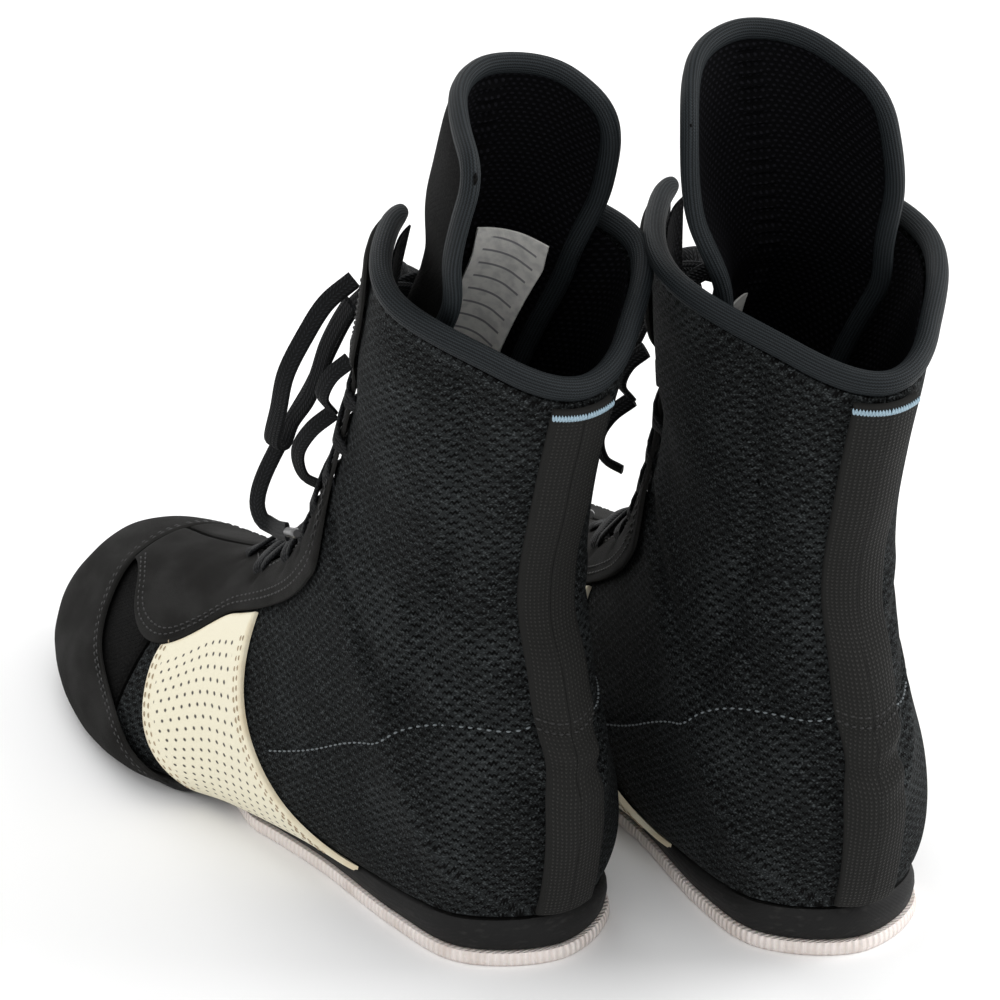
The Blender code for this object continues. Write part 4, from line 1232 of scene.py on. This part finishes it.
# The sock liner's rings: how far each is set in, and how far it lies above the sole's edge (mm)
LINER_RINGS = ((0.6, 2.6), (0.0, 3.2), (0.0, 5.2), (0.8, 6.0))
LINER_INSET = 7.5


def feather_height(y):
    """The height of the sole's edge, where the upper starts."""
    return np.interp(y, FEATHER_LINE[:, 1], FEATHER_LINE[:, 2])


def ground(y):
    """The height of the sole's underside: flat, then rising to the toe."""
    return TOE_SPRING * np.clip((y - 215.0) / 70.0, 0.0, None) ** 2


def outsole_top(y):
    """The height where the outsole meets the midsole."""
    return ground(y) + OUTSOLE_THICKNESS - 1.6 * smooth_step(y, 110.0, 190.0)


def sole_loop(boot):
    """The sole's edge as a loop: its stations, points, outward directions and middle line."""
    half = HEEL_BACK * (1 - np.cos(np.linspace(0.0, pi, 190))) / 2
    station = np.concatenate([half[::-1], half[1:-1]])
    side = np.concatenate([np.full(len(half), -1.0), np.full(len(half) - 2, 1.0)])
    points = last_point(boot, station, 0.0, side)
    middle = (points + last_point(boot, station, 0.0, -side)) / 2
    run = unit((np.roll(points, -1, 0) - np.roll(points, 1, 0))[:, :2])
    outward = np.stack([-run[:, 1], run[:, 0]], 1)
    return station, points, outward, middle


def sole_layer(boot, name, look, inset, rings, height):
    """A layer of the sole: rings (extra inset, share) up its edge, closed over the bottom and top.

    inset(station) is how far the layer lies inside the sole's edge, and height(y, station, share) is
    how high a ring runs.
    """
    station, points, outward, middle = sole_loop(boot)
    lines = []
    for extra, share in rings:
        place = points.copy()
        place[:, :2] -= outward * (inset(station) + extra)[:, None]
        place[:, 2] = height(place[:, 1], station, share)
        lines.append(place)
    closings = []
    for line, share in ((lines[0], rings[0][1]), (lines[-1], rings[-1][1])):
        for reach in (0.3, 0.65, 1.0):
            place = line.copy()
            place[:, :2] = blend(line[:, :2], middle[:, :2], reach)
            place[:, 2] = height(place[:, 1], station, share)
            closings.append(place)
    grid = np.array([*closings[2::-1], *lines, *closings[3:]])
    looped = np.concatenate([grid, grid[:, :1]], axis=1)
    around = np.broadcast_to(arc_lengths(looped[4:5], 1), looped.shape[:2])
    along = arc_lengths(looped, 0)
    shape = Shape()
    shape.add_grid(grid, np.stack([around, along], -1), closed=True)
    shape.build(boot, name, [look], boot.body, [name])


def outsole_inset(station):
    """The outsole is set well in under the forefoot, and stands a little proud from the arch back."""
    return blend(9.0, -1.6, smooth_step(station, 4.5, 5.3))


def outsole_height(y, station, share):
    """The height of a ring of the outsole."""
    return blend(ground(y), outsole_top(y), share)


def midsole_inset(station):
    """The midsole tucks in at the toes and stands a little proud at the heel."""
    return blend(0.5, -0.6, smooth_step(station, 3.6, 5.6))


def midsole_height(y, station, share):
    """The height of a ring of the midsole, which wraps down to the ground at the forefoot."""
    wrap = 1 - smooth_step(station, 4.3, 4.7)
    low = blend(outsole_top(y) + SHELL_GAP, ground(y) + 0.8, wrap)
    return blend(low, feather_height(y) - 2 * SHELL_GAP, share)


def liner_height(y, station, lift):
    """The height of a ring of the sock liner."""
    return feather_height(y) + lift


def soles(boot):
    """The outsole, the midsole and the sock liner."""
    sole_layer(boot, "outsole", "outsole", outsole_inset, OUTSOLE_RINGS, outsole_height)
    sole_layer(boot, "midsole", "rubber", midsole_inset, MIDSOLE_RINGS, midsole_height)
    sole_layer(boot, "sock_liner", "foam", lambda s: LINER_INSET + 0 * s, LINER_RINGS, liner_height)


# --- Stitching ------------------------------------------------------------------------------------

def stitched_line(shape, boot, side, places, lift, pitch=3.1, length=2.2, radius=0.3):
    """A line of stitches through (station, angle) places."""
    points, normals = line_on_last(boot, side, places, lift, pitch)
    stitches(shape, points, normals, length, radius)


def stitching(boot):
    """The seams: black on the suede, tan on the leather, grey on the mesh and blue on the webbing."""
    dark, tan, grey, blue = Shape(), Shape(), Shape(), Shape()
    on_suede = OVERLAY[1] + 0.1
    on_panel = OVERLAY[1] - 0.4
    eyestay_rows = np.linspace(2.45, 13.6, 26)
    throat_rows = np.linspace(4.2, 13.4, 22)
    toe_angles = np.linspace(0.3, pi - 0.02, 16)
    panel_angles = np.linspace(1.98, 0.3, 12)
    for _, side in SIDES:
        for inset in (0.07, 0.13):
            places = [(s, eyestay_edge(s) + inset) for s in eyestay_rows]
            stitched_line(dark, boot, side, places, on_suede)
        stitched_line(dark, boot, side, [(s, throat_edge(s) - 0.07) for s in throat_rows], on_suede)
        for inset in (0.06, 0.12):
            stitched_line(dark, boot, side, [(toe_cap_rear(a) - inset, a) for a in toe_angles], on_suede)
        for inset in (0.05, 0.11):
            stitched_line(tan, boot, side, [(panel_front(a) + inset, a) for a in panel_angles], on_panel)
            stitched_line(tan, boot, side, [(panel_rear(a) - inset, a) for a in panel_angles], on_panel)
        stitched_line(grey, boot, side, COUNTER_SEAM, 0.35, 2.9, 1.5, 0.30)
        reach = np.linspace(0.1, 8.4, 24)
        station = np.where(np.arange(24) % 2 == 0, 13.70, 13.755)
        angle = webbing_angle(boot, 13.72, reach)
        stitches(blue, last_offset(boot, station, angle, side, STRAP[1] + 0.15),
                 last_normal(boot, station, angle, side), 2.3, 0.34)
        for station in (10.72, 10.8):
            places = ((station, 0.01), (station, webbing_angle(boot, station, 8.2)))
            stitched_line(dark, boot, side, places, STRAP[1] + 0.1, 2.0, 1.5, 0.35)
    dark.build(boot, "suede_stitching", ["black_thread"], boot.body)
    tan.build(boot, "panel_stitching", ["tan_thread"], boot.body)
    grey.build(boot, "counter_stitching", ["grey_thread"], boot.body)
    blue.build(boot, "bar_tack", ["blue_thread"], boot.body)


def hidden_pieces(boot):
    """The CAD pieces inside the boot stay as they are, in their own materials."""
    for node, look in (("lasting_board", "board"), ("toe_puff", "stiffener"), ("heel_counter", "stiffener")):
        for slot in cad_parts[f"{boot.name}_{node}"].material_slots:
            slot.material = LOOKS[look]


BUILDERS = (bow, knot, lacing, quarters, vamp, toe_cap, eyestays, side_panels, heel_webbing, collar_roll,
            lining, tongue, tongue_binding, size_label, soles, stitching, hidden_pieces)

add_camera()
for each_boot in (LEFT, RIGHT):
    for build_piece in BUILDERS:
        build_piece(each_boot)
add_studio()
